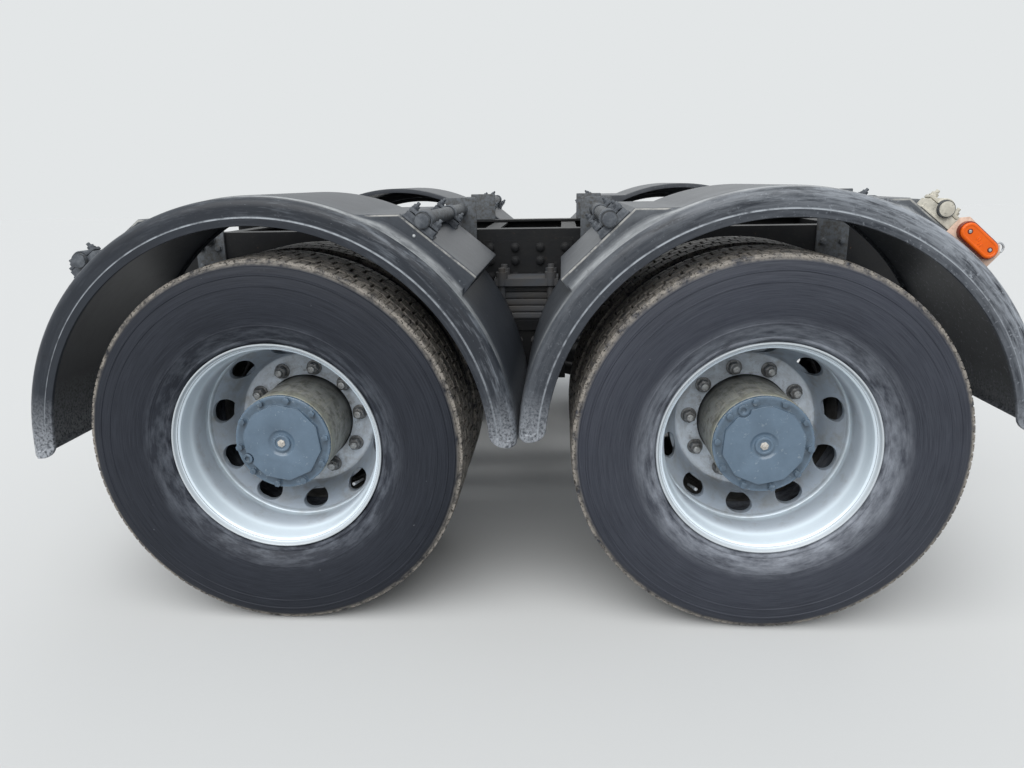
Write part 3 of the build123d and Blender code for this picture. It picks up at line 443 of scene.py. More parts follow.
def wheel_enamel(name, pale, lip, disc_pale, vent_ring_shade):
    """Silver stoving enamel on pressed steel: pale and satin, its disc greyed by brake dust and its outer ring
    darkened by painted shade.
    """
    paint = Finish(name, pale, 0.25)
    add, radius = paint.add, paint.radius
    disc = add("MapRange", radius, 0.272, 0.262)
    paint.coat(lip, limits=[add("MapRange", radius, 0.284, 0.292)])
    paint.coat(disc_pale, limits=[disc])
    # Painted shade: the disc's curved outer ring, round the hand holes, is darker, as that part lies in shade
    paint.coat(vent_ring_shade, limits=[disc, add("MapRange", radius, 0.200, 0.214)])
    # The dish gets dirtier towards the disc
    deep = add("MapRange", paint.side, 1.12, 1.03)
    paint.coat("#9A9C9D", 0.09, 0.20, soft=0.2, limits=[deep], thin=3)
    paint.coat("#8B867E", 0.05, 0.16, soft=0.16, limits=[disc])
    near_hub = add("MapRange", radius, 0.20, 0.15)
    grime = paint.coat("#5A5148", 0.022, 0.20, soft=0.12, limits=[near_hub])
    paint.coat("#8A6B55", 0.010, 0.035, soft=0.03)
    return paint.end((grime, 0.30, 0.75), [(0.004, 0.00008)],
                     {"Metallic": 0.1, "Specular IOR Level": 0.8})


def hub_casting(name):
    """Painted cast iron under brake dust: brown-grey, matt and wiped in streaks, with painted shade that darkens
    it towards the disc and turns it black at the disc.
    """
    paint = Finish(name, "#A2A39F", 0.14)
    add, depth = paint.add, paint.side
    paint.coat("#84837D", 0.06, 0.45, soft=0.22)
    # Streaks run along the barrel, 3 mm wide
    streaks = add("Mapping", {"Vector": paint.ring, "Scale": (1, 1, 0.08)})
    paint.coat("#ABA899", 0.006, 0.25, soft=0.15, detail=4, where=streaks)
    paint.coat("#3B3630", 0.03, 0.25, soft=0.15)
    # Olive dust lies thickest beside the cap. Painted shade darkens the barrel towards the disc, and paints the
    # recess at its foot black
    paint.coat("#A3A392", 0.02, 0.5, soft=0.12, limits=[add("MapRange", depth, 1.10, 1.14)])
    paint.coat("#45423D", limits=[add("MapRange", depth, 1.03, 0.95, 0.0, 0.6)])
    paint.coat("#161514", limits=[add("MapRange", depth, 0.952, 0.932)])
    return paint.end(0.6, [(0.012, 0.0005), (0.003, 0.0002)])


def cap_enamel(name, base):
    """Blue-grey enamel on a machined casting: satin, with a film of dust."""
    paint = Finish(name, base, 0.12)
    add, radius = paint.add, paint.radius
    paint.coat("#596C7E", 0.08, 0.45, soft=0.2)
    # Dirt stays in the corner round the plateau, and a painted highlight runs along the rim in patches
    corner = [add("MapRange", radius, 0.108, 0.116), add("MapRange", radius, 0.134, 0.128)]
    paint.coat("#3F4C58", 0.03, 0.5, soft=0.3, limits=corner)
    rim = add("MapRange", radius, 0.1345, 0.1375)
    paint.coat("#A9ABA2", 0.006, 0.3, soft=0.04, limits=[rim])
    dust = paint.coat("#8A969F", 0.014, 0.12, soft=0.10)
    paint.coat("#3E444A", 0.008, 0.05, soft=0.03)
    return paint.end((dust, 0.22, 0.5), [(0.006, 0.0001)], {"Specular IOR Level": 0.6})


def dull_metal(name, base, dirt, cover, metallic, rough, grain=0.012):
    """Plated or primed hardware: a dull metal or flat paint, with dirt in patches."""
    paint = Finish(name, base)
    mask = paint.coat(dirt, grain, cover, soft=0.12)
    return paint.end((mask, rough, 0.8), [(0.004, 0.0002)], {"Metallic": metallic})


def nut_steel(name):
    """Phosphated steel nuts: dark under brake dust, the stud's turned end paler."""
    paint = Finish(name, "#8F9091", 0.1)
    stud = paint.add("MapRange", paint.side, DISC_PLANE + 0.0388, DISC_PLANE + 0.0396)
    paint.coat("#3A3632", 0.010, 0.42, soft=0.2)
    paint.coat("#C2C3C3", limits=[stud])
    paint.coat("#5E5952", 0.006, 0.3, soft=0.2, limits=[stud])
    return paint.end(0.42, [(0.004, 0.0002)], {"Metallic": 0.3})


def guard_polyethylene(name, axle, base, skin_dust_and_shade, chalk, scuffed):
    """Moulded polyethylene: dark slate, half matt, dusty where it faces up, scuffed in streaks, with painted shade
    on the inner skin and painted highlights along the ledge and the pads' edges.
    """
    size = GUARDS[axle][2]
    face_side = GUARD_FACE * MM
    paint = Finish(name, base, size, axle)
    add, radius, side, up = paint.add, paint.radius, paint.side, paint.up
    paint.coat("#24272D", 0.20, 0.4, soft=0.25)
    # Rain leaves dust on the shoulder and the skin's edge, most of it near the top. It thins out towards the
    # centre plane, which paints the inner skin darker as the shadow of the lorry's body
    face = add("MapRange", side, face_side - 0.004, face_side - 0.0005)
    upper = add("MapRange", up, -0.1, 0.9 * size, 0.6, 1.0)
    skin = add("Math", add("MapRange", side, 1.08, 1.19, 0.5, 1.0),
               add("MapRange", side, 1.203, 1.230, 1.0, 0.35), operation="MULTIPLY")
    skin = add("Math", skin, face, operation="SUBTRACT")
    paint.coat(skin_dust_and_shade, 0.08, 0.66, soft=0.2, limits=[skin, upper], thin=3)
    # More of it lies on the front half, which the wind does not sweep, and in the crease
    swept = add("MapRange", paint.forward, -0.40, 0.40, 0.14, 1.0)
    crease = [add("MapRange", side, 1.180, 1.190), add("MapRange", side, 1.2185, 1.2145),
              add("MapRange", up, 0.1, 0.45)]
    paint.coat("#A2A6A9", 0.09, 0.58, soft=0.16, detail=12, limits=crease, thin=6)
    # Dust and rubbing on the face's outer half, thinning out towards the open edge
    outer = [add("MapRange", radius, size - 0.060, size - 0.022, 0.25, 1.0),
             add("MapRange", side, 1.200, 1.212), swept]
    paint.coat(chalk, 0.10, scuffed, soft=0.09, limits=outer, detail=15, thin=9)
    worn = add("Math", face, 0.8, operation="MULTIPLY")
    paint.coat(base, 0.12, 0.30, soft=0.10, detail=12, limits=[worn], thin=16)
    specks = add("MapRange", swept, 0.25, 1.0, 0.2, 0.9)
    paint.coat(chalk, 0.010, scuffed * 0.4, soft=0.06, detail=12, limits=[specks])
    # Dust lies along the ledge of the border, painted pale as a highlight where the ledge catches the light
    ledge = [add("MapRange", radius, size - 0.0540, size - 0.0525),
             add("MapRange", radius, size - 0.0480, size - 0.0505), upper]
    paint.coat("#9AA0A7", 0.04, 0.66, soft=0.12, limits=ledge, where=paint.ring)
    # The low ends stand in the tyres' spray
    low = add("MapRange", up, 0.26 * size, -0.02)
    paint.coat("#ABB0B7", 0.007, 0.58, soft=0.10, limits=[low])
    paint.coat("#1E2126", 0.030, 0.10)
    # A painted highlight runs along the pads' near edges, pale in patches
    pad_edge_highlight = [add("MapRange", side, 1.1725, 1.1735), add("MapRange", side, 1.1759, 1.1756),
                add("MapRange", radius, size + 0.010, size + 0.014)]
    paint.coat("#9C9C99", 0.03, 0.6, soft=0.1, limits=pad_edge_highlight)
    # Scratches a millimetre wide
    scuff = paint.coat("#8F959B", 0.012, 0.04, soft=0.02, detail=3, thin=6)
    return paint.end((scuff, 0.42, 0.8), [(0.05, 0.0008), (0.0025, 0.0001)],
                     {"IOR": 1.51, "Specular IOR Level": 0.3})


def moulded(name, base, dust, cover):
    """Moulded plastic of the tube clamps: matt, dusty in patches."""
    paint = Finish(name, base)
    paint.coat(dust, 0.02, cover, soft=0.2)
    mask = paint.coat("#23262B", 0.012, 0.16, soft=0.1)
    return paint.end((mask, 0.7, 0.5), [(0.003, 0.0002)])


def chassis_enamel(name, base, dirt, rust):
    """Chassis enamel on rolled and cast steel: dark, half matt, dusted and rusty in spots."""
    paint = Finish(name, base)
    paint.coat(dirt, 0.10, 0.42, soft=0.2)
    paint.coat("#5B4334", 0.025, rust, soft=0.05)
    dust = paint.coat("#403F3C", 0.012, 0.10)
    return paint.end((dust, 0.5, 0.85), [(0.015, 0.0005), (0.003, 0.0002)],
                     {"Specular IOR Level": 0.25})


def acrylic(name, base, deep):
    """Moulded acrylic lens: saturated orange and glossy, hazed in patches."""
    paint = Finish(name, base)
    haze = paint.coat(deep, 0.03, 0.4, soft=0.25)
    return paint.end((haze, 0.14, 0.26), [(0.01, 0.0002)],
                     {"IOR": 1.49, "Specular IOR Level": 0.35})


def finish(key):
    """Material by a short name, made when it is first asked for."""
    chosen = {colour: (*getattr(bpy.context.scene.bogie_colours, colour), 1.0)
              for colour in ("wheel", "cap", "guard_rear", "guard_front", "chassis", "lens")}
    maker, name, *looks = {
        "tyre_rear": (tyre_rubber, "Tyre rubber, cleaner", "#23262E", "#1D2027", "#3C4049", 0.30,
                      "#7C828C"),
        "tyre_front": (tyre_rubber, "Tyre rubber, dusty", "#343741", "#2B2E36", "#50545D", 0.46,
                       "#A0A6B0"),
        # The outer wheels' last colour is the painted shade on the disc's outer ring
        "rim_outer": (wheel_enamel, "Silver wheel enamel", chosen["wheel"], "#C6CED4", "#DEE7F1",
                      "#AAB5C2"),
        # The inner wheels are nearly black
        "rim_inner": (wheel_enamel, "Silver wheel enamel under road dirt", "#4A4845", "#4A4845",
                      "#383634", "#262524"),
        "hub": (hub_casting, "Hub casting under brake dust"),
        "cap": (cap_enamel, "Blue-grey hub enamel", chosen["cap"]),
        "nut": (nut_steel, "Phosphated steel"),
        # Hardware: a warm dull plug, cooler steel, grey tubes, and a chalky plate for the lamp
        "plug": (dull_metal, "Dull nickelled steel", "#CFCBC4", "#8A847B", 0.35, 0.2, 0.45, 0.005),
        "zinc": (dull_metal, "Zinc-plated steel", "#B4B8BC", "#7B7872", 0.3, 0.5, 0.4, 0.005),
        "tube": (dull_metal, "Powder-coated steel tube", "#565B61", "#45433F", 0.4, 0.3, 0.55),
        "plate": (dull_metal, "Primed sheet steel", "#DDBFAC", "#B39887", 0.3, 0.0, 0.5),
        "guard_rear": (guard_polyethylene, "Moulded polyethylene", "rear", chosen["guard_rear"],
                       "#42474E", "#737981", 0.34),
        "guard_front": (guard_polyethylene, "Moulded polyethylene, dusty", "front",
                        chosen["guard_front"], "#5F6368", "#999FA7", 0.60),
        "clamp": (moulded, "Moulded nylon", "#43484F", "#777C82", 0.30),
        "clamp_dusty": (moulded, "Moulded nylon, chalky", "#A9A69B", "#D3CFC2", 0.55),
        # The frame's black enamel is set darker still, as painted shade for the shadow of the lorry's body
        "chassis": (chassis_enamel, "Chassis enamel", chosen["chassis"], "#1D1D1D", 0.06),
        "axle": (chassis_enamel, "Axle enamel", "#303336", "#45413B", 0.12),
        "spring": (chassis_enamel, "Painted spring steel", "#464A50", "#4D4A47", 0.08),
        # The lens is orange; its base is painted deep red-brown as the shade along the lens's side
        "lens": (acrylic, "Amber acrylic", chosen["lens"], "#E05A0A"),
        "lens_base": (acrylic, "Amber acrylic in its own shade", "#7E2710", "#5E1C0C"),
    }[key]
    return bpy.data.materials.get(name) or maker(name, *looks)


# Settings that a user would change

Length = partial(FloatProperty, unit="LENGTH", min=0)
Colour = partial(FloatVectorProperty, subtype="COLOR", size=3, min=0, max=1)


class TyreSettings(PropertyGroup):
    lugs: IntProperty(name="Tread pitches", description="Middle tread blocks round the tyre",
                      default=64, min=24, max=96)
    block_gap: Length(name="Block gap", description="Gap between the middle blocks round a tyre",
                      default=0.007)
    notch: Length(name="Shoulder notch", description="Width of the notches in the tread's shoulder",
                  default=0.0035)


class WheelSettings(PropertyGroup):
    nut_circle: Length(name="Stud circle", description="Diameter of the wheel nuts' circle",
                       default=0.335)
    nut_across: Length(name="Nut width", description="Across the flats of a wheel nut",
                       default=0.033)
    nut_height: Length(name="Nut height", description="Height of a wheel nut", default=0.022)
    cap_bolt_circle: Length(name="Cap bolt circle", description="Diameter of the cap bolts' circle",
                            default=0.254)
    count: IntProperty(name="Nuts", description="Wheel nuts, cap bolts and hand holes in a wheel",
                       default=10, min=6, max=12)


class GuardSettings(PropertyGroup):
    wall: Length(name="Wall", description="Thickness of the moulded guard", default=0.005)
    clamp_bolt: Length(name="Clamp bolt", description="Across the flats of a clamp's nut",
                       default=0.017)


class ColourSettings(PropertyGroup):
    wheel: Colour(name="Wheels", description="Enamel of the outer wheels",
                  default=linear("#E4F1FB")[:3])
    cap: Colour(name="Hub caps", description="Enamel of the hub caps",
                default=linear("#667A8D")[:3])
    guard_rear: Colour(name="Rear guards", description="Plastic of the rear guards",
                       default=linear("#2A2F37")[:3])
    guard_front: Colour(name="Front guards", description="Plastic of the front guards",
                        default=linear("#30353D")[:3])
    # The frame's black enamel is set darker still, as painted shade for the shadow of the lorry's body
    chassis: Colour(name="Chassis", description="Enamel of the frame and its brackets",
                    default=linear("#101216")[:3])
    lens: Colour(name="Lamp lenses", description="Acrylic of the marker lamps",
                 default=linear("#F26A0A")[:3])


class StageSettings(PropertyGroup):
    camera_place: FloatVectorProperty(name="Camera", description="The camera's place", size=3,
                                      default=(0.1222, -3.1470, 1.2374), subtype="TRANSLATION",
                                      unit="LENGTH")
    camera_turn: FloatVectorProperty(name="Camera turn", description="Yaw, pitch and roll", size=3,
                                     default=[radians(t) for t in (-3.917, -15.015, -1.002)],
                                     subtype="EULER", unit="ROTATION")
    lens: FloatProperty(name="Lens", description="Focal length on a 36 mm wide sensor, in mm",
                        default=26.43, min=10, max=200)
    sky: FloatProperty(name="Sky light", description="Strength of the even light from all sides",
                       default=0.42, min=0)
    sun: FloatProperty(name="Broad sun", description="Strength of the broad light over the camera",
                       default=3.1, min=0)
    fill: FloatProperty(name="Fill sun", description="Strength of the broad light from behind",
                        default=0.5, min=0)
    sun_height: FloatProperty(name="Sun height", description="Angle of both above the floor",
                              default=radians(50), subtype="ANGLE", unit="ROTATION")


# Tyres. Rows are (radius, distance from the tyre's own centre plane) in mm, bead to tread.

TYRE_GROOVE_RADIUS = 519
TYRE_SHOULDER_RADIUS = 525
TYRE_RADIUS = 529
TYRE_WALL = (
    (286, 95), (286, 114.2), (299.3, 114.4), (301.5, 118.5), (304.5, 123.5), (308.5, 127.5),
    (312, 128.5), (314, 127.6), (318, 130.5), (324, 136.5), (332, 142.3), (341, 146.6),
    (350, 149.8), (351, 151.0), (354, 151.6), (355, 150.9), (366, 152.6), (380, 154.6),
    (394, 155.8), (410, 156.3), (428, 156.2), (444, 155.3), (456, 153.9), (457, 154.9),
    (460, 154.7), (461, 153.3), (474, 151.2), (484, 148.9), (485.5, 150.2), (489, 149.6),
    (490.5, 147.2), (499, 144.8), (507, 141.8), (508.5, 139.0), (515, 135.5), (518, 131),
    (522.5, 128.5), (TYRE_SHOULDER_RADIUS, 124), (TYRE_SHOULDER_RADIUS, 79.5),
    (TYRE_GROOVE_RADIUS, 77.5),
)
TYRE_INSIDE = ((500, 110), (470, 136), (405, 141), (335, 130), (305, 100))
# Tread blocks: centre, width, share of a pitch by which the row is shifted, blocks in a pitch
TREAD_ROWS = ((-103, 46, 0.0, 2), (-52, 44, 0.5, 1), (0, 46, 0.0, 1), (52, 44, 0.5, 1),
              (103, 46, 0.25, 2))
BLOCK_SINK = 0.003  # of a block's foot in the carcass
BLOCK_ROUNDING = 0.0014
# Shift of a shoulder block's side face, down and outwards
SHOULDER_SLANT = (-0.0032, 0.003)
TREAD_TURN = 1.37  # times the wheel's own turn, so that no two treads lie alike


def tyre_shape():
    """Tyre about the Y axis, centred on the origin: a spun carcass with tread blocks on it."""
    settings = bpy.context.scene.bogie_tyre
    far_side = [(r, -w) for r, w in (*reversed(TYRE_WALL), *reversed(TYRE_INSIDE))]
    carcass = smooth(turned("tyre", [*TYRE_WALL, *far_side, *TYRE_INSIDE], steps=160), 26)

    blocks = []
    for centre, width, shift, rate in TREAD_ROWS:
        half = width / 2 * MM
        pitch = tau / settings.lugs / rate
        length = TYRE_RADIUS * MM * pitch - (settings.block_gap if rate == 1 else settings.notch)
        foot = (TYRE_GROOVE_RADIUS if rate == 1 else TYRE_SHOULDER_RADIUS) * MM - BLOCK_SINK
        block = brick("block", (foot, centre * MM - half, -length / 2),
                      (TYRE_RADIUS * MM, centre * MM + half, length / 2))
        if rate > 1:
            # The shoulder blocks round down towards the side wall
            beside = 1 if centre > 0 else -1
            drop, reach = SHOULDER_SLANT
            with editing(block, lambda face: face.normal.y * beside > 0.5):
                bpy.ops.transform.translate(value=(drop, reach * beside, 0))
        bevelled(block, BLOCK_ROUNDING, 1)
        round_the_axle(block, settings.lugs * rate, start=shift * pitch)
        blocks.append(block)
    return joined("tyre", [carcass, *blocks])


class BOGIE_OT_tyres(Operator):
    """Model the eight tyres"""
    bl_idname = "bogie.tyres"
    bl_label = "Tyres"

    def execute(self, context):
        shape = tyre_shape()
        for wheel in WHEELS:
            axle = wheel.split("_")[0]
            for place in ("outer", "inner"):
                node = f"tyre_{place}_{wheel}"
                low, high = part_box(node)
                centre = (Vector(low) + Vector(high)) / 2
                turn = Matrix.Rotation(radians(WHEEL_TURN[wheel] * TREAD_TURN), 4, "Y")
                piece = copied(shape, "dressed_" + node, Matrix.Translation(centre) @ turn)
                fitted(piece, "wheel_" + wheel, "tyre_rubber", "tyre_" + axle, node)
        bpy.data.objects.remove(shape)
        return {"FINISHED"}


# Rims. Rows are (radius, distance from the plane where the twin discs meet) in mm, from the
# flange beside that plane round the tyre's side and back through the dish.

RIM_ROWS = (
    (298.3, 49.3), (298.5, 55), (296, 58), (290, 59.5), (286.8, 60.3), (285.7, 62), (285.7, 84.5),
    (281.5, 102), (280.7, 110), (280.7, 141), (275, 157), (274.7, 221), (280.7, 239),
    (285.7, 265.5), (285.7, 288), (286.8, 289.8), (290, 291), (296, 292.3), (298.5, 295),
    (298.5, 299.4), (297.6, 300.7), (295.6, 301), (293.6, 300.2), (292.0, 297.5), (290.6, 293),
    (288.2, 289.5), (284.2, 287.5), (280.6, 284.5), (279.0, 280), (277.9, 272), (276.6, 260),
    (275.0, 246), (273.6, 240.5), (271.4, 235.5), (268.6, 228), (267.0, 219), (266.4, 208),
    (266.6, 190), (267.2, 172), (268.2, 160), (270.0, 151), (272.0, 145.5), (272.7, 141),
    (272.7, 130), (272.2, 128.4), (270.4, 127.4), (268.6, 125.6), (266.6, 122.0), (266.0, 118.5),
    (264.6, 115.6), (262.4, 113.6), (256, 108.0), (248, 100.4), (241, 91.6), (232, 78.0),
    (224, 62.8), (218.4, 48), (214.2, 32), (211.0, 20), (209.6, 15.6), (207.2, 13.0),
    (203.5, 12.0), (142.0, 12.0), (140.5, 10.8), (140.5, 0.2), (142, 0.0), (211, 0.0),
    (218, 4.0), (224.6, 22), (229, 40), (238, 62), (251, 82), (262.6, 95.4), (272.7, 97.5),
    (272.7, 79), (277.7, 73), (285.7, 60.2), (291.5, 50),
)
DISC_WALL = 0.012
# Oval hand holes
VENT_CIRCLE_RADIUS = 0.241
VENT_HALF_WIDTH = 0.023
VENT_HALF_LENGTH = 0.039
VENT_CUT = (0.040, 0.135)  # reach of the cutter beyond the disc's plane
# Tyre valve's foot and tip: from the axle, and from the centre plane
VALVE_FOOT = (0.256, 0.975)
VALVE_TIP = (0.240, 1.040)
VALVE_RADIUS = 0.0040
VALVE_CAP_RADIUS = 0.0052
VALVE_CAP_ENDS = (0.2, -0.06)  # from the tip towards the foot, as shares of the stem


def rim_shape():
    """Rim and disc in one, facing the right, with oval hand holes at half steps from the nuts."""
    count = bpy.context.scene.bogie_wheel.count
    body = turned("rim", [(r, DISC_PLANE / MM + a) for r, a in RIM_ROWS], steps=180)
    oval = [(VENT_CIRCLE_RADIUS + VENT_HALF_WIDTH * cos(t), VENT_HALF_LENGTH * sin(t))
            for t in (tau * i / 40 for i in range(40))]
    cutter = slab("hand_holes", oval, [-DISC_PLANE - reach for reach in VENT_CUT])
    cut(body, round_the_axle(cutter, count, start=-pi / count))
    return smooth(bevelled(body, 0.0016, 2, 40), 30)


class BOGIE_OT_rims(Operator):
    """Model the eight disc wheels"""
    bl_idname = "bogie.rims"
    bl_label = "Rims"

    def execute(self, context):
        shape = rim_shape()
        # The inner wheel is the outer one turned back to front about the meeting plane
        back = Matrix.Translation((0, -2 * DISC_PLANE, 0)) @ MIRROR
        for wheel in WHEELS:
            for place, flip in (("outer", UNMOVED), ("inner", back)):
                node = f"rim_{place}_{wheel}"
                piece = copied(shape, "dressed_" + node, wheel_matrix(wheel) @ flip)
                fitted(piece, "wheel_" + wheel, "silver_paint", "rim_" + place, node)
        bpy.data.objects.remove(shape)
        return {"FINISHED"}


class BOGIE_OT_wheel_nuts(Operator):
    """Fit nuts with washers on the studs of each outer wheel, and a tyre valve"""
    bl_idname = "bogie.wheel_nuts"
    bl_label = "Wheel nuts"

    def execute(self, context):
        settings = context.scene.bogie_wheel
        nut = hex_bolt("nut", across=settings.nut_across, head=settings.nut_height, stud=0.012,
                       stud_radius=0.0105, washer=0.0235)
        nut = onto(nut, [facing_right(settings.nut_circle / 2, -DISC_PLANE - DISC_WALL, 0)])
        round_the_axle(nut, settings.count)

        # The valve stands up in a hand hole
        turn = 3.5 * tau / settings.count
        foot, tip = (Vector((radius * cos(turn), -side, radius * sin(turn)))
                     for radius, side in (VALVE_FOOT, VALVE_TIP))
        stem = bevelled(bar("valve", foot, tip, VALVE_RADIUS, 16), 0.0008)
        cap_ends = [tip.lerp(foot, share) for share in VALVE_CAP_ENDS]
        cap = bar("valve_cap", *cap_ends, VALVE_CAP_RADIUS, 12)
        valve = smooth(joined("valve", [stem, bevelled(cap, 0.001)]))

        for shape, name, look in ((nut, "wheel_nuts_", "nut"), (valve, "tyre_valve_", "zinc")):
            for wheel in WHEELS:
                piece = copied(shape, name + wheel, wheel_matrix(wheel))
                fitted(piece, "wheel_" + wheel, "bracket_steel", look)
            bpy.data.objects.remove(shape)
        return {"FINISHED"}


# Hub rows are (radius, distance from the centre plane) in mm

HUB_ROWS = (
    (65.3, 791), (107, 791), (110, 794), (110, 862), (190, 862), (205, 838), (205, 660.5),
    (206, 660), (221, 660), (222, 661), (222, 672), (219, 674), (219, 700), (222, 702),
    (222, 838), (201, 861), (199, 878.5), (192, 879), (192, 899.5), (191, 901), (140.2, 901),
    (140.2, 926), (139, 929), (138.6, 931), (138.6, 1104), (137.8, 1106), (137.8, 1110),
    (139, 1112), (139, 1144.6), (137.6, 1146), (65.3, 1146),
)
CAP_ROWS = (
    (0, 1146), (136.4, 1146), (138, 1147.4), (138, 1156.2), (136.2, 1158), (0, 1158),
)
GROOVE_ROWS = (
    (25.5, 1162.5), (25.5, 1172), (42, 1172), (41.4, 1168.2), (39, 1167.2), (36, 1165.0),
    (33, 1163.0), (29, 1162.3),
)
BOSS_ROWS = (
    (0, 1161), (25, 1161), (25, 1168.6), (24.4, 1170.0), (23, 1170.6), (18.6, 1170.6),
    (17.6, 1170.0), (17.0, 1168.4), (16.4, 1164), (0, 1164),
)
CAP_FACE = 1.158
PLUG_FACE = 1.164
PLATEAU_CORNER = 0.115
PLATEAU_HEIGHT = 0.0095
FILLER_CIRCLE = 0.117
FILLER_RADIUS = 0.015
FILLER_SOCKET = 0.0078


def cap_shape():
    """Hub cap facing the right: flange, plateau with corners, boss in a groove, filler, bolts."""
    settings = bpy.context.scene.bogie_wheel
    count = settings.count
    angles = [(i + 0.5) * tau / count for i in range(count)]

    def stub(name, low, high, radius, vertices=40):
        """Bar at one corner of the plateau, between two heights over the cap's face."""
        x, z = FILLER_CIRCLE * cos(pi / count), FILLER_CIRCLE * sin(pi / count)
        return bar(name, (x, -CAP_FACE - low, z), (x, -CAP_FACE - high, z), radius, vertices)

    plateau = slab("plateau", [(PLATEAU_CORNER * cos(a), PLATEAU_CORNER * sin(a)) for a in angles],
                   (-CAP_FACE + 0.002, -CAP_FACE - PLATEAU_HEIGHT))
    cut(plateau, stub("relief", -0.008, 0.022, FILLER_RADIUS + 0.005))
    bevelled(plateau, 0.0055, 5, 40)
    cut(plateau, turned("groove", GROOVE_ROWS, steps=64))
    boss = turned("boss", BOSS_ROWS, steps=64)
    filler = cut(stub("filler", -0.002, 0.008, FILLER_RADIUS),
                 stub("socket", 0.002, 0.020, FILLER_SOCKET, 6))
    bolt = hex_bolt("cap_bolt", across=0.0175, head=0.0095, washer=0.0110)
    bolt = onto(bolt, [facing_right(settings.cap_bolt_circle / 2, -CAP_FACE, 0)])
    round_the_axle(bolt, count)
    flange = bevelled(turned("cap", CAP_ROWS), 0.001, 2)
    return smooth(joined("cap", [flange, plateau, boss, bevelled(filler, 0.0016, 3), bolt]), 34)


class BOGIE_OT_hubs(Operator):
    """Model the hubs with their drums, and the hub caps with plugs and bolts"""
    bl_idname = "bogie.hubs"
    bl_label = "Hubs and caps"

    def execute(self, context):
        hub = smooth(turned("hub", HUB_ROWS), 30)
        cap = cap_shape()
        plug = hex_bolt("plug", across=0.0205, head=0.007, stud=0.0025, stud_radius=0.0062)
        plug = onto(plug, [facing_right(0, -PLUG_FACE, 0)])
        for wheel in WHEELS:
            body = "wheel_" + wheel
            place = wheel_matrix(wheel)
            fitted(copied(hub, "dressed_hub_" + wheel, place), body, "hub_paint", "hub",
                   "hub_" + wheel)
            fitted(copied(cap, "dressed_hub_cap_" + wheel, place), body, "cap_paint", "cap",
                   "hub_cap_" + wheel)
            fitted(copied(plug, "cap_plug_" + wheel, place), body, "cap_paint", "plug")
        for piece in (hub, cap, plug):
            bpy.data.objects.remove(piece)
        return {"FINISHED"}


# Mudguards: centre's x beyond the axle, its height, outer radius, first and last angle from +X
GUARDS = {
    "rear": (-0.0065, 0.530, 0.684, 1.6, 181.8),
    "front": (0.006, 0.5415, 0.676, 5.3, 178.0),
}
# Section, in mm: distances from the centre plane, and sizes of the face and its parts
GUARD_INNER_EDGE = 570
GUARD_FACE = 1246
FACE_DEPTH = 73
SHOULDER = 24
BORDER = 21
BORDER_STANDOUT = 4
LEDGE_WIDTH = 2.4
COLUMN_STEP = 1.5  # degrees between a guard's columns, about
END_COLUMNS = (0, 1.2, 3, 6, 9, 12, 15, 18, 19.8, 21, 22.4, 25, 28, 32, 36, 40, 44)  # off its ends
# Radii of the rounded ends, in metres
INNER_CORNER = 0.042
OUTER_CORNER = 0.012

# Flat pads on the guards and the tubes on them, as in the solid model:
# axle, angle, pad's distance, low and high ends along it, tube's distance and place along it
GUARD_PADS = (
    ("rear", 128.0, 0.6885, (-0.165, 0.122), (0.7125, -0.0815)),
    ("rear", 50.5, 0.7205, (-0.153, 0.104), (0.744, 0.0475)),
    ("front", 133.5, 0.7095, (-0.096, 0.166), (0.733, 0.101)),
    ("front", 51.0, 0.694, (-0.100, 0.165), (0.726, 0.080)),
)
PAD_CENTRE_Z = 0.541
PAD_SIDE = 1176
PAD_ROUNDING = 0.008  # along the pads' sides
PAD_END_ROUNDING = 0.005
PAD_FOOT_COLUMNS = (0, 0.001, 0.0025, 0.005)  # off a pad's low end
PAD_TOP_COLUMNS = (0, 0.003)  # off its high end
PAD_FLANK_FOOT = 1200
PAD_FLANK = 0.021  # the most that a pad's flank rises
FLANK_SHARE = 0.5  # of the pad's own height
FLANK_BEND = 1.3  # power of the flank's curve
SKIN_SWELL = 0.003
# Push rivets in the pads' sides: axle, x, z; and their ends' distances from the centre plane
PAD_RIVETS = (("rear", -0.2619, 1.1067), ("front", 1.0066, 1.1251))
RIVET_FOOT = 1.170
RIVET_HEAD = 1.1785
RIVET_RADIUS = 0.0045


def rounded_drop(over, radius):
    """How far a rounded edge has dropped where it is that far over the start of its rounding."""
    return radius - sqrt(max(0.0, radius ** 2 - over ** 2))


def pad_directions(angle):
    """Outward and along-the-pad unit vectors."""
    turn = radians(angle)
    lean = 1 if angle < 90 else -1
    return Vector((cos(turn), 0, sin(turn))), Vector((-lean * sin(turn), 0, lean * cos(turn)))


def pad_point(axle, angle, out, along=0.0, y=0.0):
    """Point at a distance out from the pads' centre, and along a pad towards the guard's top."""
    outward_unit, tangent = pad_directions(angle)
    return Vector((AXLE_X[axle], y, PAD_CENTRE_Z)) + out * outward_unit + along * tangent


def guard_centre(axle):
    beyond, height, *_ = GUARDS[axle]
    return Vector((AXLE_X[axle] + beyond, 0, height))


def pad_reach(axle, direction):
    """Distance from a guard's centre to the pad that lies in a direction, or 0."""
    centre = guard_centre(axle)
    for pad_axle, angle, flat, (low, high), _ in GUARD_PADS:
        out, tangent = pad_directions(angle)
        if pad_axle != axle or direction.dot(out) < 0.8:
            continue
        start = centre - Vector((AXLE_X[axle], 0, PAD_CENTRE_Z))
        reach = (flat - start.dot(out)) / direction.dot(out)
        along = (start + reach * direction).dot(tangent)
        if along > high:
            return (pad_point(axle, angle, flat, high).z - centre.z) / direction.z
        if along > low - 1e-5:
            over = max(0.0, PAD_END_ROUNDING - (along - low))
            return reach - rounded_drop(over, PAD_END_ROUNDING)
    return 0.0


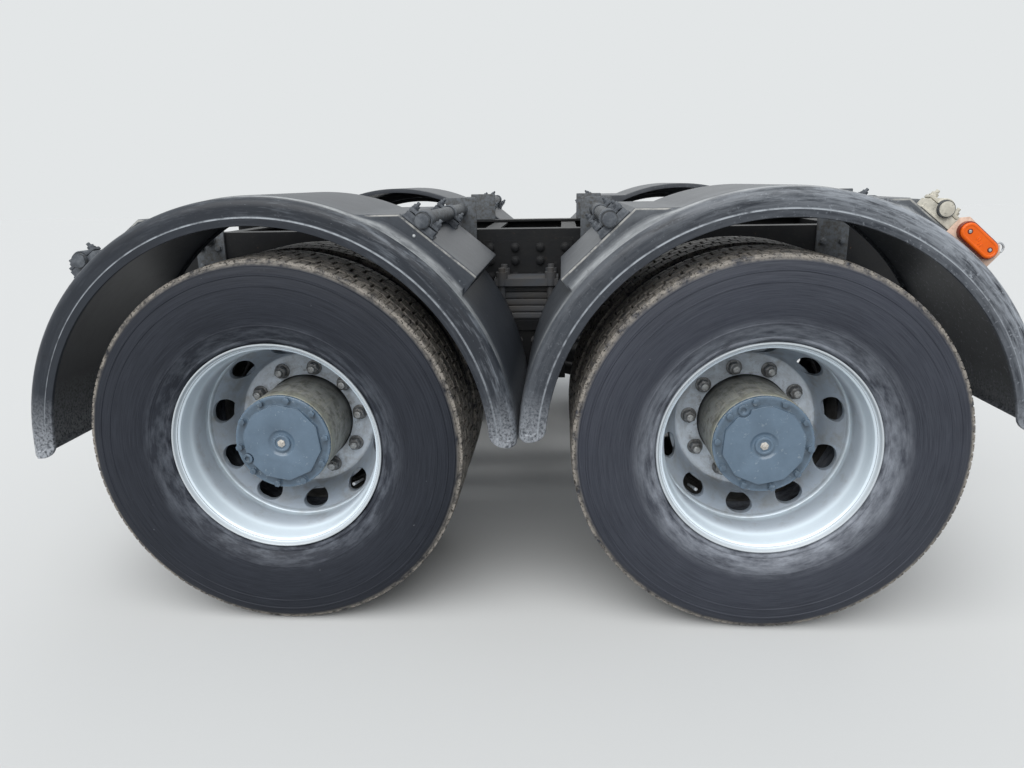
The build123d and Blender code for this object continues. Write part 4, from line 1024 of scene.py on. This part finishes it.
def guard_columns(axle):
    """Angles round a guard at which its mesh has a column: close at ends and pads, else even."""
    _, _, size, first, last = GUARDS[axle]
    first, last = radians(first), radians(last)
    angles = [first + off * MM / size for off in END_COLUMNS]
    angles += [last - off * MM / size for off in END_COLUMNS]
    centre = guard_centre(axle)
    for pad_axle, angle, flat, (low, high), _ in GUARD_PADS:
        if pad_axle != axle:
            continue
        places = [pad_point(axle, angle, flat, low + off) for off in PAD_FOOT_COLUMNS]
        places += [pad_point(axle, angle, flat, high - off) for off in PAD_TOP_COLUMNS]
        # The foot of the pad's low end lies on the guard itself
        out, tangent = pad_directions(angle)
        side = (pad_point(axle, angle, 0, low) - centre).dot(tangent)
        places.append(centre + side * tangent + sqrt(size ** 2 - side ** 2) * out)
        angles += [atan2(place.z - centre.z, place.x - centre.x) for place in places]
        level = asin((pad_point(axle, angle, flat, high).z - centre.z) / (size + SKIN_SWELL))
        angles.append(level if angle < 90 else pi - level)
    angles.sort()
    filled = []
    for here, there in zip(angles, angles[1:]):
        count = max(1, round((there - here) / radians(COLUMN_STEP)))
        filled += [here + (there - here) * i / count for i in range(count)]
    return filled + [angles[-1]]


def guard_rows():
    """Section of a guard in mm: depth under the outer radius, distance from the centre plane."""
    edge, face = GUARD_INNER_EDGE, GUARD_FACE
    wall = bpy.context.scene.bogie_guard.wall / MM
    rows = [(16, edge), (9, edge), (2, edge + 1.5)]
    rows += [(0, side) for side in (
        edge + 5, 640, 760, 900, 1040, 1120, 1160, 1168, 1170.5, 1173, 1174.8, 1175.6, PAD_SIDE,
        1176.4, 1182, 1188, 1194, PAD_FLANK_FOOT, 1206)]
    # A crease runs along the skin beside its shoulder
    rows += [(3.2, 1209.5), (3.2, 1214), (0, 1218)]
    turns = [radians(15 * i) for i in range(7)]
    rows += [(SHOULDER * (1 - cos(t)), face - SHOULDER * (1 - sin(t))) for t in turns]
    ledge = FACE_DEPTH - BORDER
    rows += [(depth, face) for depth in (28, 32, 36, 40, 44, 48, ledge - 1.5, ledge, ledge + 1.5,
                                         57, 61, 65, 69, 71.5)]
    rows += [(72.6, face - 0.4), (FACE_DEPTH, face - 1.6), (FACE_DEPTH, face - wall),
             (69, face - wall), (SHOULDER + 3, face - wall), (wall + 5, face - 12),
             (wall, face - 28), (wall, edge + 5), (16, edge + 5)]
    return rows


def border_rise(off):
    """Height of the raised border at a distance in metres off the guard's edge."""
    ledge = min(1.0, max(0.0, ((BORDER + LEDGE_WIDTH / 2) * MM - off) / (LEDGE_WIDTH * MM)))
    return BORDER_STANDOUT * MM * min(1.0, 0.6 + off / 0.003) * ledge * ledge * (3 - 2 * ledge)


def guard_shape(axle):
    """Half-round guard for one axle: rounded ends, a border round its face, raised flat pads."""
    _, _, size, first, last = GUARDS[axle]
    columns = guard_columns(axle)
    rows = guard_rows()
    steps = len(columns) - 1
    piece = turned("guard", [(size / MM - d, s) for d, s in rows], steps=steps, arc=pi)
    depth_whole = FACE_DEPTH * MM
    for vertex in piece.data.vertices:
        # The even steps of the spin become the columns' own angles
        angle = columns[round(abs(atan2(vertex.co.z, vertex.co.x)) / pi * steps)]
        depth, side = size - hypot(vertex.co.x, vertex.co.z), -vertex.co.y
        direction = Vector((cos(angle), 0, sin(angle)))
        on_skin = depth < 2.5 * MM and side < PAD_FLANK_FOOT * MM
        on_face = depth > (SHOULDER - 1) * MM and side > (GUARD_FACE - 2) * MM
        rise = 0.0
        if on_skin:
            lifted = max(0.0, pad_reach(axle, direction) - size)
            flank = max(SKIN_SWELL, min(PAD_FLANK, lifted * FLANK_SHARE))
            over = max(0.0, side - PAD_SIDE * MM + PAD_ROUNDING)
            if side < (PAD_SIDE + 0.1) * MM:
                rise = max(flank, lifted - rounded_drop(over, PAD_ROUNDING))
            else:
                share = (PAD_FLANK_FOOT - side / MM) / (PAD_FLANK_FOOT - PAD_SIDE)
                rise = flank * share ** FLANK_BEND
        # The guard's ends are rounded, and the border runs round them
        end = min(angle - radians(first), radians(last) - angle) * size
        inner, outer = max(0.0, INNER_CORNER - end), max(0.0, OUTER_CORNER - end)
        low = depth_whole - rounded_drop(inner, INNER_CORNER)
        high = rounded_drop(outer, OUTER_CORNER)
        new_depth = high + depth / depth_whole * (low - high)
        if on_face:
            off = min(end, depth_whole - new_depth)
            corner = new_depth - (depth_whole - INNER_CORNER)
            if inner > 0 and corner > 0:
                off = INNER_CORNER - hypot(inner, corner)
            side += border_rise(max(0.0, off))
        vertex.co = (size - new_depth + rise) * direction + Vector((0, -side, 0))
    return smooth(outward(piece), 30)


class BOGIE_OT_mudguards(Operator):
    """Model the four mudguards"""
    bl_idname = "bogie.mudguards"
    bl_label = "Mudguards"

    def execute(self, context):
        for axle in AXLE_X:
            shape = guard_shape(axle)
            for side, flip in SIDES.items():
                node = f"mudguard_{axle}_{side}"
                place = Matrix.Translation(guard_centre(axle)) @ flip
                fitted(copied(shape, "dressed_" + node, place), CHASSIS, "guard_plastic",
                       "guard_" + axle, node)
            bpy.data.objects.remove(shape)
        rivets = [bar("pad_rivet_" + axle, (x, -RIVET_FOOT, z), (x, -RIVET_HEAD, z),
                      RIVET_RADIUS, 20) for axle, x, z in PAD_RIVETS]
        for rivet in rivets:
            fitted_both_sides(smooth(bevelled(rivet, 0.002, 3)), "guard_plastic", "zinc")
        return {"FINISHED"}


# Tubes that carry the guards, and the plates that hold them on the frame rails
RAIL_OUTER = 0.390
ARM_PLATE = 0.012
ARM_PLATE_HALF = 0.055
ARM_PLATE_FOOT = 0.925
ARM_BOLTS = [(dx, height) for dx in (-0.033, 0.033) for height in (0.955, 1.02)]
TUBE_RADIUS = 0.021
TUBE_WALL = 0.0022
TUBE_END = 1.182
END_RIM = (0.0028, 0.0016)  # width of the rim round a tube's end, and depth inside it
WELD_RADIUS = 0.004


def arm_shape(name, centre):
    """Tube with a rim round its end, welded on a plate that is bolted to the frame rail."""
    x, _, z = centre
    face = -RAIL_OUTER - ARM_PLATE
    tube = bar(name, (x, face + 0.001, z), (x, -TUBE_END, z), TUBE_RADIUS, 40)
    width, depth = END_RIM
    with editing(tube, lambda side: side.normal.y < -0.9):
        bpy.ops.mesh.inset(thickness=width)
        bpy.ops.transform.translate(value=(0, depth, 0))
    bevelled(tube, 0.0009, 2)
    weld = primitive("torus", name, location=(x, face, z), rotation=(pi / 2, 0, 0),
                     major_radius=TUBE_RADIUS, minor_radius=WELD_RADIUS, major_segments=40,
                     minor_segments=8)
    plate = brick(name, (x - ARM_PLATE_HALF, face, ARM_PLATE_FOOT),
                  (x + ARM_PLATE_HALF, -RAIL_OUTER, z + 2 * TUBE_RADIUS))
    bolts = onto(hex_bolt(name, across=0.019, head=0.010, washer=0.0135),
                 [facing_right(x + dx, face, height) for dx, height in ARM_BOLTS])
    return smooth(joined(name, [tube, settle(weld), bevelled(plate, 0.003, 2), bolts]))


# Tube clamps: places from the centre plane, half sizes along the pad and across it, and
# heights over the tube's middle
CLAMP_Y = (0.700, 1.148)
FOOT_HALF = (0.050, 0.026)
SADDLE_HALF = (0.046, 0.0245)
EAR_HALF = (0.046, 0.019)
FOOT_TOP = 0.006  # over the pad
SADDLE_FOOT = 0.004  # over the pad
EAR_TOP = 0.0085
CROWN_HALF = 0.0235
CROWN_WALL = 0.0042
SLIT = 0.0032
CLAMP_PLAY = 0.0003  # between tube and clamp
CLAMP_BOLT_X = 0.036
CLAMP_BOLT_RADIUS = 0.005


def clamp_shape(name, axle, angle, flat, tube, y):
    """Tube clamp on a pad: a saddle on a foot, a crown over the tube with two ears, two bolts."""
    out, tangent = pad_directions(angle)
    centre = pad_point(axle, angle, *tube, -y)
    # The frame's X runs along the pad, whichever way keeps it right-handed
    along = tangent if tangent.cross(Vector((0, 1, 0))).dot(out) > 0 else -tangent
    place = Matrix((along, Vector((0, 1, 0)), out)).transposed().to_4x4()
    drop = tube[0] - flat
    bore = TUBE_RADIUS + CLAMP_PLAY

    def pad_block(half, low, high):
        return brick(name, (-half[0], -half[1], low), (*half, high))

    foot = bevelled(pad_block(FOOT_HALF, -drop, -drop + FOOT_TOP), 0.0016, 2)
    saddle = pad_block(SADDLE_HALF, -drop + SADDLE_FOOT, -SLIT)
    ears = pad_block(EAR_HALF, 0.0, EAR_TOP)
    for half in (saddle, ears):
        cut(half, bar(name, (0, -0.05, 0), (0, 0.05, 0), bore, 40))
        bevelled(half, 0.0022, 2)
    outer = bore + CROWN_WALL
    section = ((bore, CROWN_HALF), (outer, CROWN_HALF), (outer, -CROWN_HALF), (bore, -CROWN_HALF))
    crown = turned(name, [(r / MM, s / MM) for r, s in section], steps=24, arc=pi)
    nut = hex_bolt(name, across=bpy.context.scene.bogie_guard.clamp_bolt, head=0.009, stud=0.010,
                   stud_radius=CLAMP_BOLT_RADIUS, washer=0.0112)
    bolt_x = (-CLAMP_BOLT_X, CLAMP_BOLT_X)
    bolts = onto(nut, [Matrix.Translation((dx, 0, EAR_TOP)) for dx in bolt_x])
    shanks = [bar(name, (dx, 0, -SLIT - 0.002), (dx, 0, 0.002), CLAMP_BOLT_RADIUS, 12)
              for dx in bolt_x]
    whole = joined(name, [foot, saddle, ears, bevelled(crown, 0.0011, 1), bolts, *shanks])
    whole.matrix_world = Matrix.Translation(centre) @ place
    settle(whole)
    if y == CLAMP_Y[-1]:
        # Plug in the tube's end
        x, _, z = centre
        plug = bar(name, (x, -TUBE_END + 0.003, z), (x, -TUBE_END - 0.002, z),
                   TUBE_RADIUS - TUBE_WALL, 40)
        whole = joined(name, [whole, bevelled(plug, 0.0012, 2)])
    return smooth(whole)


class BOGIE_OT_guard_arms(Operator):
    """Model the tubes that carry the mudguards, and their clamps"""
    bl_idname = "bogie.guard_arms"
    bl_label = "Guard arms and clamps"

    def execute(self, context):
        arms = [arm_shape("arm", pad_point(axle, angle, *tube))
                for axle, angle, _, _, tube in GUARD_PADS]
        clamps = [clamp_shape("clamp", axle, angle, flat, tube, y)
                  for axle, angle, flat, _, tube in GUARD_PADS for y in CLAMP_Y]
        # The foremost outer clamp and its tube's plug are chalky with dust
        chalky = clamps.pop()
        for name, shapes, slot, look, node in (
                ("guard_tubes", arms, "bracket_steel", "tube", "guard_arms"),
                ("tube_clamps", clamps, "guard_plastic", "clamp", "guard_clamps"),
                ("front_tube_clamp", [chalky], "guard_plastic", "clamp_dusty", "guard_clamps")):
            fitted_both_sides(joined(name + "_right", shapes), slot, look, node)
        return {"FINISHED"}


# Marker lamps, in their own frame on the front guard's front pad: X along the pad, Y away from
# the guard, Z towards the viewer
LAMP_ANGLE = 49.0
PLATE_FOOT = 0.672
PLATE_HALF = (0.070, 0.0375)
PLATE_SHIFT = -0.006
PLATE_CLIP = 0.016
PLATE_FACE = 1.179
PLATE_WALL = 0.003
WIRE_CENTRE = (0.058, 0.032, -0.008)
LENS_RISE = 0.0085  # of the lens above the plate's middle
# Lens, and its base that is painted as the lens's shade: length, height, depth, and the steps of its front
LENS = (0.112, 0.044, 0.0160, [(0.0010, 0.0016), (0.0022, 0.0014), (0.0030, 0.0004),
                               (0.0016, -0.0009)])
LENS_BASE = (0.118, 0.050, 0.0115, [(0.0012, 0.0012)])
LENS_RIBS = ((-0.009, 0.004), (-0.002, 0.004), (0.002, -0.002), (0.009, -0.002))
RIB_LOW = Vector((-0.0016, -0.0080, 0.0170))
RIB_HIGH = Vector((0.0016, 0.0010, 0.0195))
# Screws in the lens and the rings round them: lowest and highest level, radius, corners
SCREW_X = 0.035
SCREW = (0.0185, 0.0200, 0.0040, 20)
SCREW_RING = (0.0160, 0.0190, 0.0068, 24)


def lamp_plate_shape(place):
    """Plate with clipped corners for a lamp at a matrix; its foot follows the guard's skin."""
    (x, y), clip = PLATE_HALF, PLATE_CLIP
    corners = ((-x, -y), (x, -y), (x, y - clip), (x - clip, y), (clip - x, y), (-x, y - clip))
    plate = raised("lamp_plate", [(*corner, 0) for corner in corners], (0, 0, -PLATE_WALL))
    skin = primitive("cylinder", "skin", vertices=256, radius=GUARDS["front"][2] - 0.0005,
                     depth=0.1, rotation=(pi / 2, 0, 0),
                     location=guard_centre("front") - Vector((0, PLATE_FACE, 0)))
    skin.matrix_world = place.inverted() @ skin.matrix_world
    return smooth(bevelled(cut(plate, settle(skin)), 0.0008))


def lens_body(name, length, height, depth, steps):
    """Oblong with round ends along X, above the plate's middle, with a stepped front."""
    straight, r = (length - height) / 2, height / 2
    turns = [radians(-90 + 15 * k) for k in range(13)]
    return raised(name, [(way * (straight + r * cos(t)), LENS_RISE + way * r * sin(t), 0)
                         for way in (1, -1) for t in turns], (0, 0, depth), steps)


def lens_screws(name, low, high, radius, corners):
    """Bars between two levels at the places of both screws."""
    return [bevelled(bar(name, (x, LENS_RISE, low), (x, LENS_RISE, high), radius, corners),
                     0.0008, 2) for x in (-SCREW_X, SCREW_X)]


class BOGIE_OT_marker_lamps(Operator):
    """Model the amber marker lamps on their plates"""
    bl_idname = "bogie.marker_lamps"
    bl_label = "Marker lamps"

    def execute(self, context):
        out, tangent = pad_directions(LAMP_ANGLE)
        middle = pad_point("front", LAMP_ANGLE, PLATE_FOOT + PLATE_HALF[1], PLATE_SHIFT,
                           -PLATE_FACE)
        place = (Matrix.Translation(middle)
                 @ Matrix((-tangent, out, Vector((0, -1, 0)))).transposed().to_4x4())
        plate = lamp_plate_shape(place)
        wire = primitive("torus", "lamp_wire", location=WIRE_CENTRE, major_radius=0.013,
                         minor_radius=0.0026, major_segments=36, minor_segments=10)
        base = joined("lens_base", [lens_body("lens_base", *LENS_BASE),
                                    *lens_screws("lens_base", *SCREW_RING)])
        ribs = [bevelled(brick("lens", RIB_LOW + Vector((x, LENS_RISE + y, 0)),
                               RIB_HIGH + Vector((x, LENS_RISE + y, 0))), 0.0006)
                for x, y in LENS_RIBS]
        lens = joined("lens", [lens_body("lens", *LENS), *ribs])
        screws = joined("screws", lens_screws("screw", *SCREW))
        for piece, name, slot, look, nodes in (
                (plate, "lamp_plate", "bracket_steel", "plate", ["lamp_brackets"]),
                (smooth(settle(wire)), "lamp_wire", "bracket_steel", "zinc", []),
                (smooth(base), "lens_base", "amber_lens", "lens_base", ["marker_lamps"]),
                (smooth(lens, 24), "lens", "amber_lens", "lens", ["marker_lamps"]),
                (smooth(screws), "lamp_screws", "bracket_steel", "zinc", [])):
            fitted_both_sides(copied(piece, name + "_right", place), slot, look, *nodes)
            bpy.data.objects.remove(piece)
        return {"FINISHED"}


# Springs: bands between arcs about one centre below the axles, the longest leaf at the bottom
SPRING_ARC = 2.820
SPRING_SEAT = 0.772
LEAF_THICKNESS = 0.024
LEAF_HALF_LENGTHS = (0.700, 0.600, 0.480, 0.360, 0.240)
LEAF_SIDES = (-0.535, -0.445)
LEAF_GAP = 0.0006


def leaf_shape(layer, half):
    """One leaf of the right-hand spring, with rolled edges."""
    low = SPRING_ARC + layer * LEAF_THICKNESS + LEAF_GAP / 2
    high = low + LEAF_THICKNESS - LEAF_GAP
    along = [half * i / 12 for i in range(-12, 13)]
    under, over = ([(x, SPRING_SEAT - SPRING_ARC + sqrt(arc ** 2 - x ** 2)) for x in along]
                   for arc in (low, high))
    return bevelled(slab("leaf", under + over[::-1], LEAF_SIDES), 0.0045, 3, 40)


class BOGIE_OT_leaf_springs(Operator):
    """Model the two springs leaf by leaf"""
    bl_idname = "bogie.leaf_springs"
    bl_label = "Leaf springs"

    def execute(self, context):
        leaves = [leaf_shape(layer, half) for layer, half in enumerate(LEAF_HALF_LENGTHS)]
        right = smooth(joined("spring_leaves_right", leaves))
        fitted_both_sides(right, "spring_steel", "spring", "leaf_springs")
        return {"FINISHED"}


# Looks of the solid model's own pieces, by slot
SLOT_LOOKS = {
    "chassis_paint": "chassis", "axle_paint": "axle", "spring_steel": "spring",
    "bracket_steel": "tube", "silver_paint": "rim_outer", "tyre_rubber": "tyre_rear",
    "hub_paint": "hub", "cap_paint": "cap", "guard_plastic": "clamp", "amber_lens": "lens",
}
# Bolts through the trunnion brackets and the frame rails
BRACKET_FACE = 0.4063
RAIL_BOLTS = [(x, z) for z in (0.845, 0.905, 0.963, 1.010)
              for x in (-0.135, -0.045, 0.045, 0.135)]
# Bolts round the axle casings' covers, and on the trunnion shaft's ends
CASING_BOLTS = 14
CASING_BOLT_RADIUS = 0.188
CASING_FACE = 0.095  # beyond the axle
TRUNNION_BOLTS = 6
TRUNNION_BOLT_RADIUS = 0.055
TRUNNION_HEIGHT = 0.655


class BOGIE_OT_frame_details(Operator):
    """Finish the solid model's own pieces, and bolt the brackets to the frame"""
    bl_idname = "bogie.frame_details"
    bl_label = "Frame, axles and bolts"

    def execute(self, context):
        slots = {row["node"]: row["material_slot"] for row in frame["record"]["subparts"]}
        for node, piece in frame["nodes"].items():
            piece.data.materials.clear()
            piece.data.materials.append(finish(SLOT_LOOKS[slots[node]]))

        bolts = onto(hex_bolt("rail_bolts_right", across=0.024, head=0.013, washer=0.017),
                     [facing_right(x, -BRACKET_FACE, z) for x, z in RAIL_BOLTS])
        fitted_both_sides(bolts, "bracket_steel", "chassis")

        places = []
        for x, out in ((AXLE_X["rear"], -1), (AXLE_X["front"], 1)):
            middle = frame_along((x + out * CASING_FACE, 0, HUB_HEIGHT), (out, 0, 0))
            places += ring_of_places(middle, CASING_BOLT_RADIUS, CASING_BOLTS)
        bolts = onto(hex_bolt("casing_bolts", across=0.019, head=0.011), places)
        fitted(bolts, CHASSIS, "axle_paint", "axle")

        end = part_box("trunnion_shaft")[1][1]
        places = []
        for side in (-1, 1):
            middle = frame_along((0, side * end, TRUNNION_HEIGHT), (0, side, 0), (0, 0, 1))
            places += ring_of_places(middle, TRUNNION_BOLT_RADIUS, TRUNNION_BOLTS)
        bolts = onto(hex_bolt("trunnion_bolts", across=0.019, head=0.009, washer=0.013), places)
        fitted(bolts, CHASSIS, "bracket_steel", "spring")
        return {"FINISHED"}


# The floor is pale to the eye and darker to the light, so little comes back from below
FLOOR_LIT = "#8E9092"
FLOOR_SEEN = "#CDCFD0"
BACKDROP = "#E3E6E7"
FLOOR_SIZE = 60
FLOOR_HEIGHT = -0.0005
SKYLIGHT = (0.92, 0.96, 1.0, 1.0)
SUNLIGHT = (1.0, 0.99, 0.97)
SUN_SPREAD = radians(70)
# Headings of the two suns' light, in degrees from +Y towards +X
SUN_HEADING = 12
FILL_HEADING = 195


def seen_directly(add):
    """Mask of the rays from the camera, also by way of a glossy or clear surface."""
    path = add("LightPath", out=None)
    glossy = add("Math", path["Is Glossy Ray"], path["Is Transmission Ray"], operation="MAXIMUM")
    return add("Math", path["Is Camera Ray"], glossy, operation="MAXIMUM")


def lay_floor():
    floor = primitive("plane", "floor", size=FLOOR_SIZE, location=(0, 0, FLOOR_HEIGHT))
    paint = Finish("Pale floor", FLOOR_LIT)
    paint.coat(FLOOR_SEEN, limits=[seen_directly(paint.add)])
    shader = paint.add("BsdfDiffuse", {"Color": paint.colour})
    paint.add("OutputMaterial", shader, out=None)
    floor.data.materials.append(paint.material)


def light_world(strength):
    """Even light from all sides, and the pale backdrop that the camera sees in its stead."""
    world = bpy.data.worlds.new("Studio")
    bpy.context.scene.world = world
    world.use_nodes = True
    world.node_tree.nodes.clear()
    add = partial(add_node, world.node_tree)
    light = add("Background", {"Color": SKYLIGHT, "Strength": strength})
    back = add("Background", {"Color": BACKDROP, "Strength": 1.0})
    add("OutputWorld", add("MixShader", seen_directly(add), light, back), out=None)


def place_sun(name, strength, heading, height):
    """Broad soft sun, shining along a heading in degrees from +Y towards +X."""
    sun = bpy.data.lights.new(name, "SUN")
    sun.energy, sun.angle, sun.color = strength, SUN_SPREAD, SUNLIGHT
    lamp = bpy.data.objects.new(name, sun)
    bpy.context.scene.collection.objects.link(lamp)
    heading = radians(heading)
    aim = Vector((cos(height) * sin(heading), cos(height) * cos(heading), -sin(height)))
    lamp.rotation_euler = aim.to_track_quat("-Z", "Y").to_euler()


def place_camera(place, turn, lens):
    """Camera at a place, with its yaw from +Y towards +X, its pitch and its roll."""
    yaw, pitch, roll = turn
    ahead = Vector((sin(yaw) * cos(pitch), cos(yaw) * cos(pitch), sin(pitch)))
    abreast = ahead.cross(Vector((0, 0, 1))).normalized()
    upright = abreast.cross(ahead)
    right = cos(roll) * abreast + sin(roll) * upright
    up = -sin(roll) * abreast + cos(roll) * upright
    data = bpy.data.cameras.new("camera")
    data.sensor_width, data.lens = 36, lens
    camera = bpy.data.objects.new("camera", data)
    camera.matrix_world = (Matrix.Translation(Vector(place))
                           @ Matrix((right, up, -ahead)).transposed().to_4x4())
    bpy.context.scene.collection.objects.link(camera)
    bpy.context.scene.camera = camera


class BOGIE_OT_stage(Operator):
    """Set the floor, the soft lights and the camera"""
    bl_idname = "bogie.stage"
    bl_label = "Stage"

    def execute(self, context):
        settings = context.scene.bogie_stage
        lay_floor()
        light_world(settings.sky)
        place_sun("broad sun", settings.sun, SUN_HEADING, settings.sun_height)
        place_sun("fill sun", settings.fill, FILL_HEADING, settings.sun_height)
        place_camera(settings.camera_place, settings.camera_turn, settings.lens)
        context.scene.view_settings.view_transform = "Standard"
        return {"FINISHED"}


GROUPS = {"bogie_tyre": TyreSettings, "bogie_wheel": WheelSettings, "bogie_guard": GuardSettings,
          "bogie_colours": ColourSettings, "bogie_stage": StageSettings}
OPERATORS = (
    BOGIE_OT_frame_details, BOGIE_OT_tyres, BOGIE_OT_rims, BOGIE_OT_wheel_nuts, BOGIE_OT_hubs,
    BOGIE_OT_mudguards, BOGIE_OT_guard_arms, BOGIE_OT_marker_lamps, BOGIE_OT_leaf_springs,
    BOGIE_OT_stage,
)


class BOGIE_PT_sidebar(Panel):
    """Lists the bogie's settings and operators"""
    bl_label = "Tandem bogie"
    bl_space_type = "VIEW_3D"
    bl_region_type = "UI"
    bl_category = "Bogie"

    def draw(self, context):
        for key in GROUPS:
            group = getattr(context.scene, key)
            for name in group.bl_rna.properties.keys():
                if name not in {"rna_type", "name"}:
                    self.layout.prop(group, name)
        for operator in OPERATORS:
            self.layout.operator(operator.bl_idname)


CLASSES = (*GROUPS.values(), *OPERATORS, BOGIE_PT_sidebar)


def register():
    for cls in CLASSES:
        bpy.utils.register_class(cls)
    for key, group in GROUPS.items():
        setattr(bpy.types.Scene, key, PointerProperty(type=group))


def unregister():
    for key in GROUPS:
        delattr(bpy.types.Scene, key)
    for cls in reversed(CLASSES):
        bpy.utils.unregister_class(cls)


def main():
    register()
    for operator in OPERATORS:
        area, action = operator.bl_idname.split(".")
        getattr(getattr(bpy.ops, area), action)()


if __name__ == "__main__":
    main()
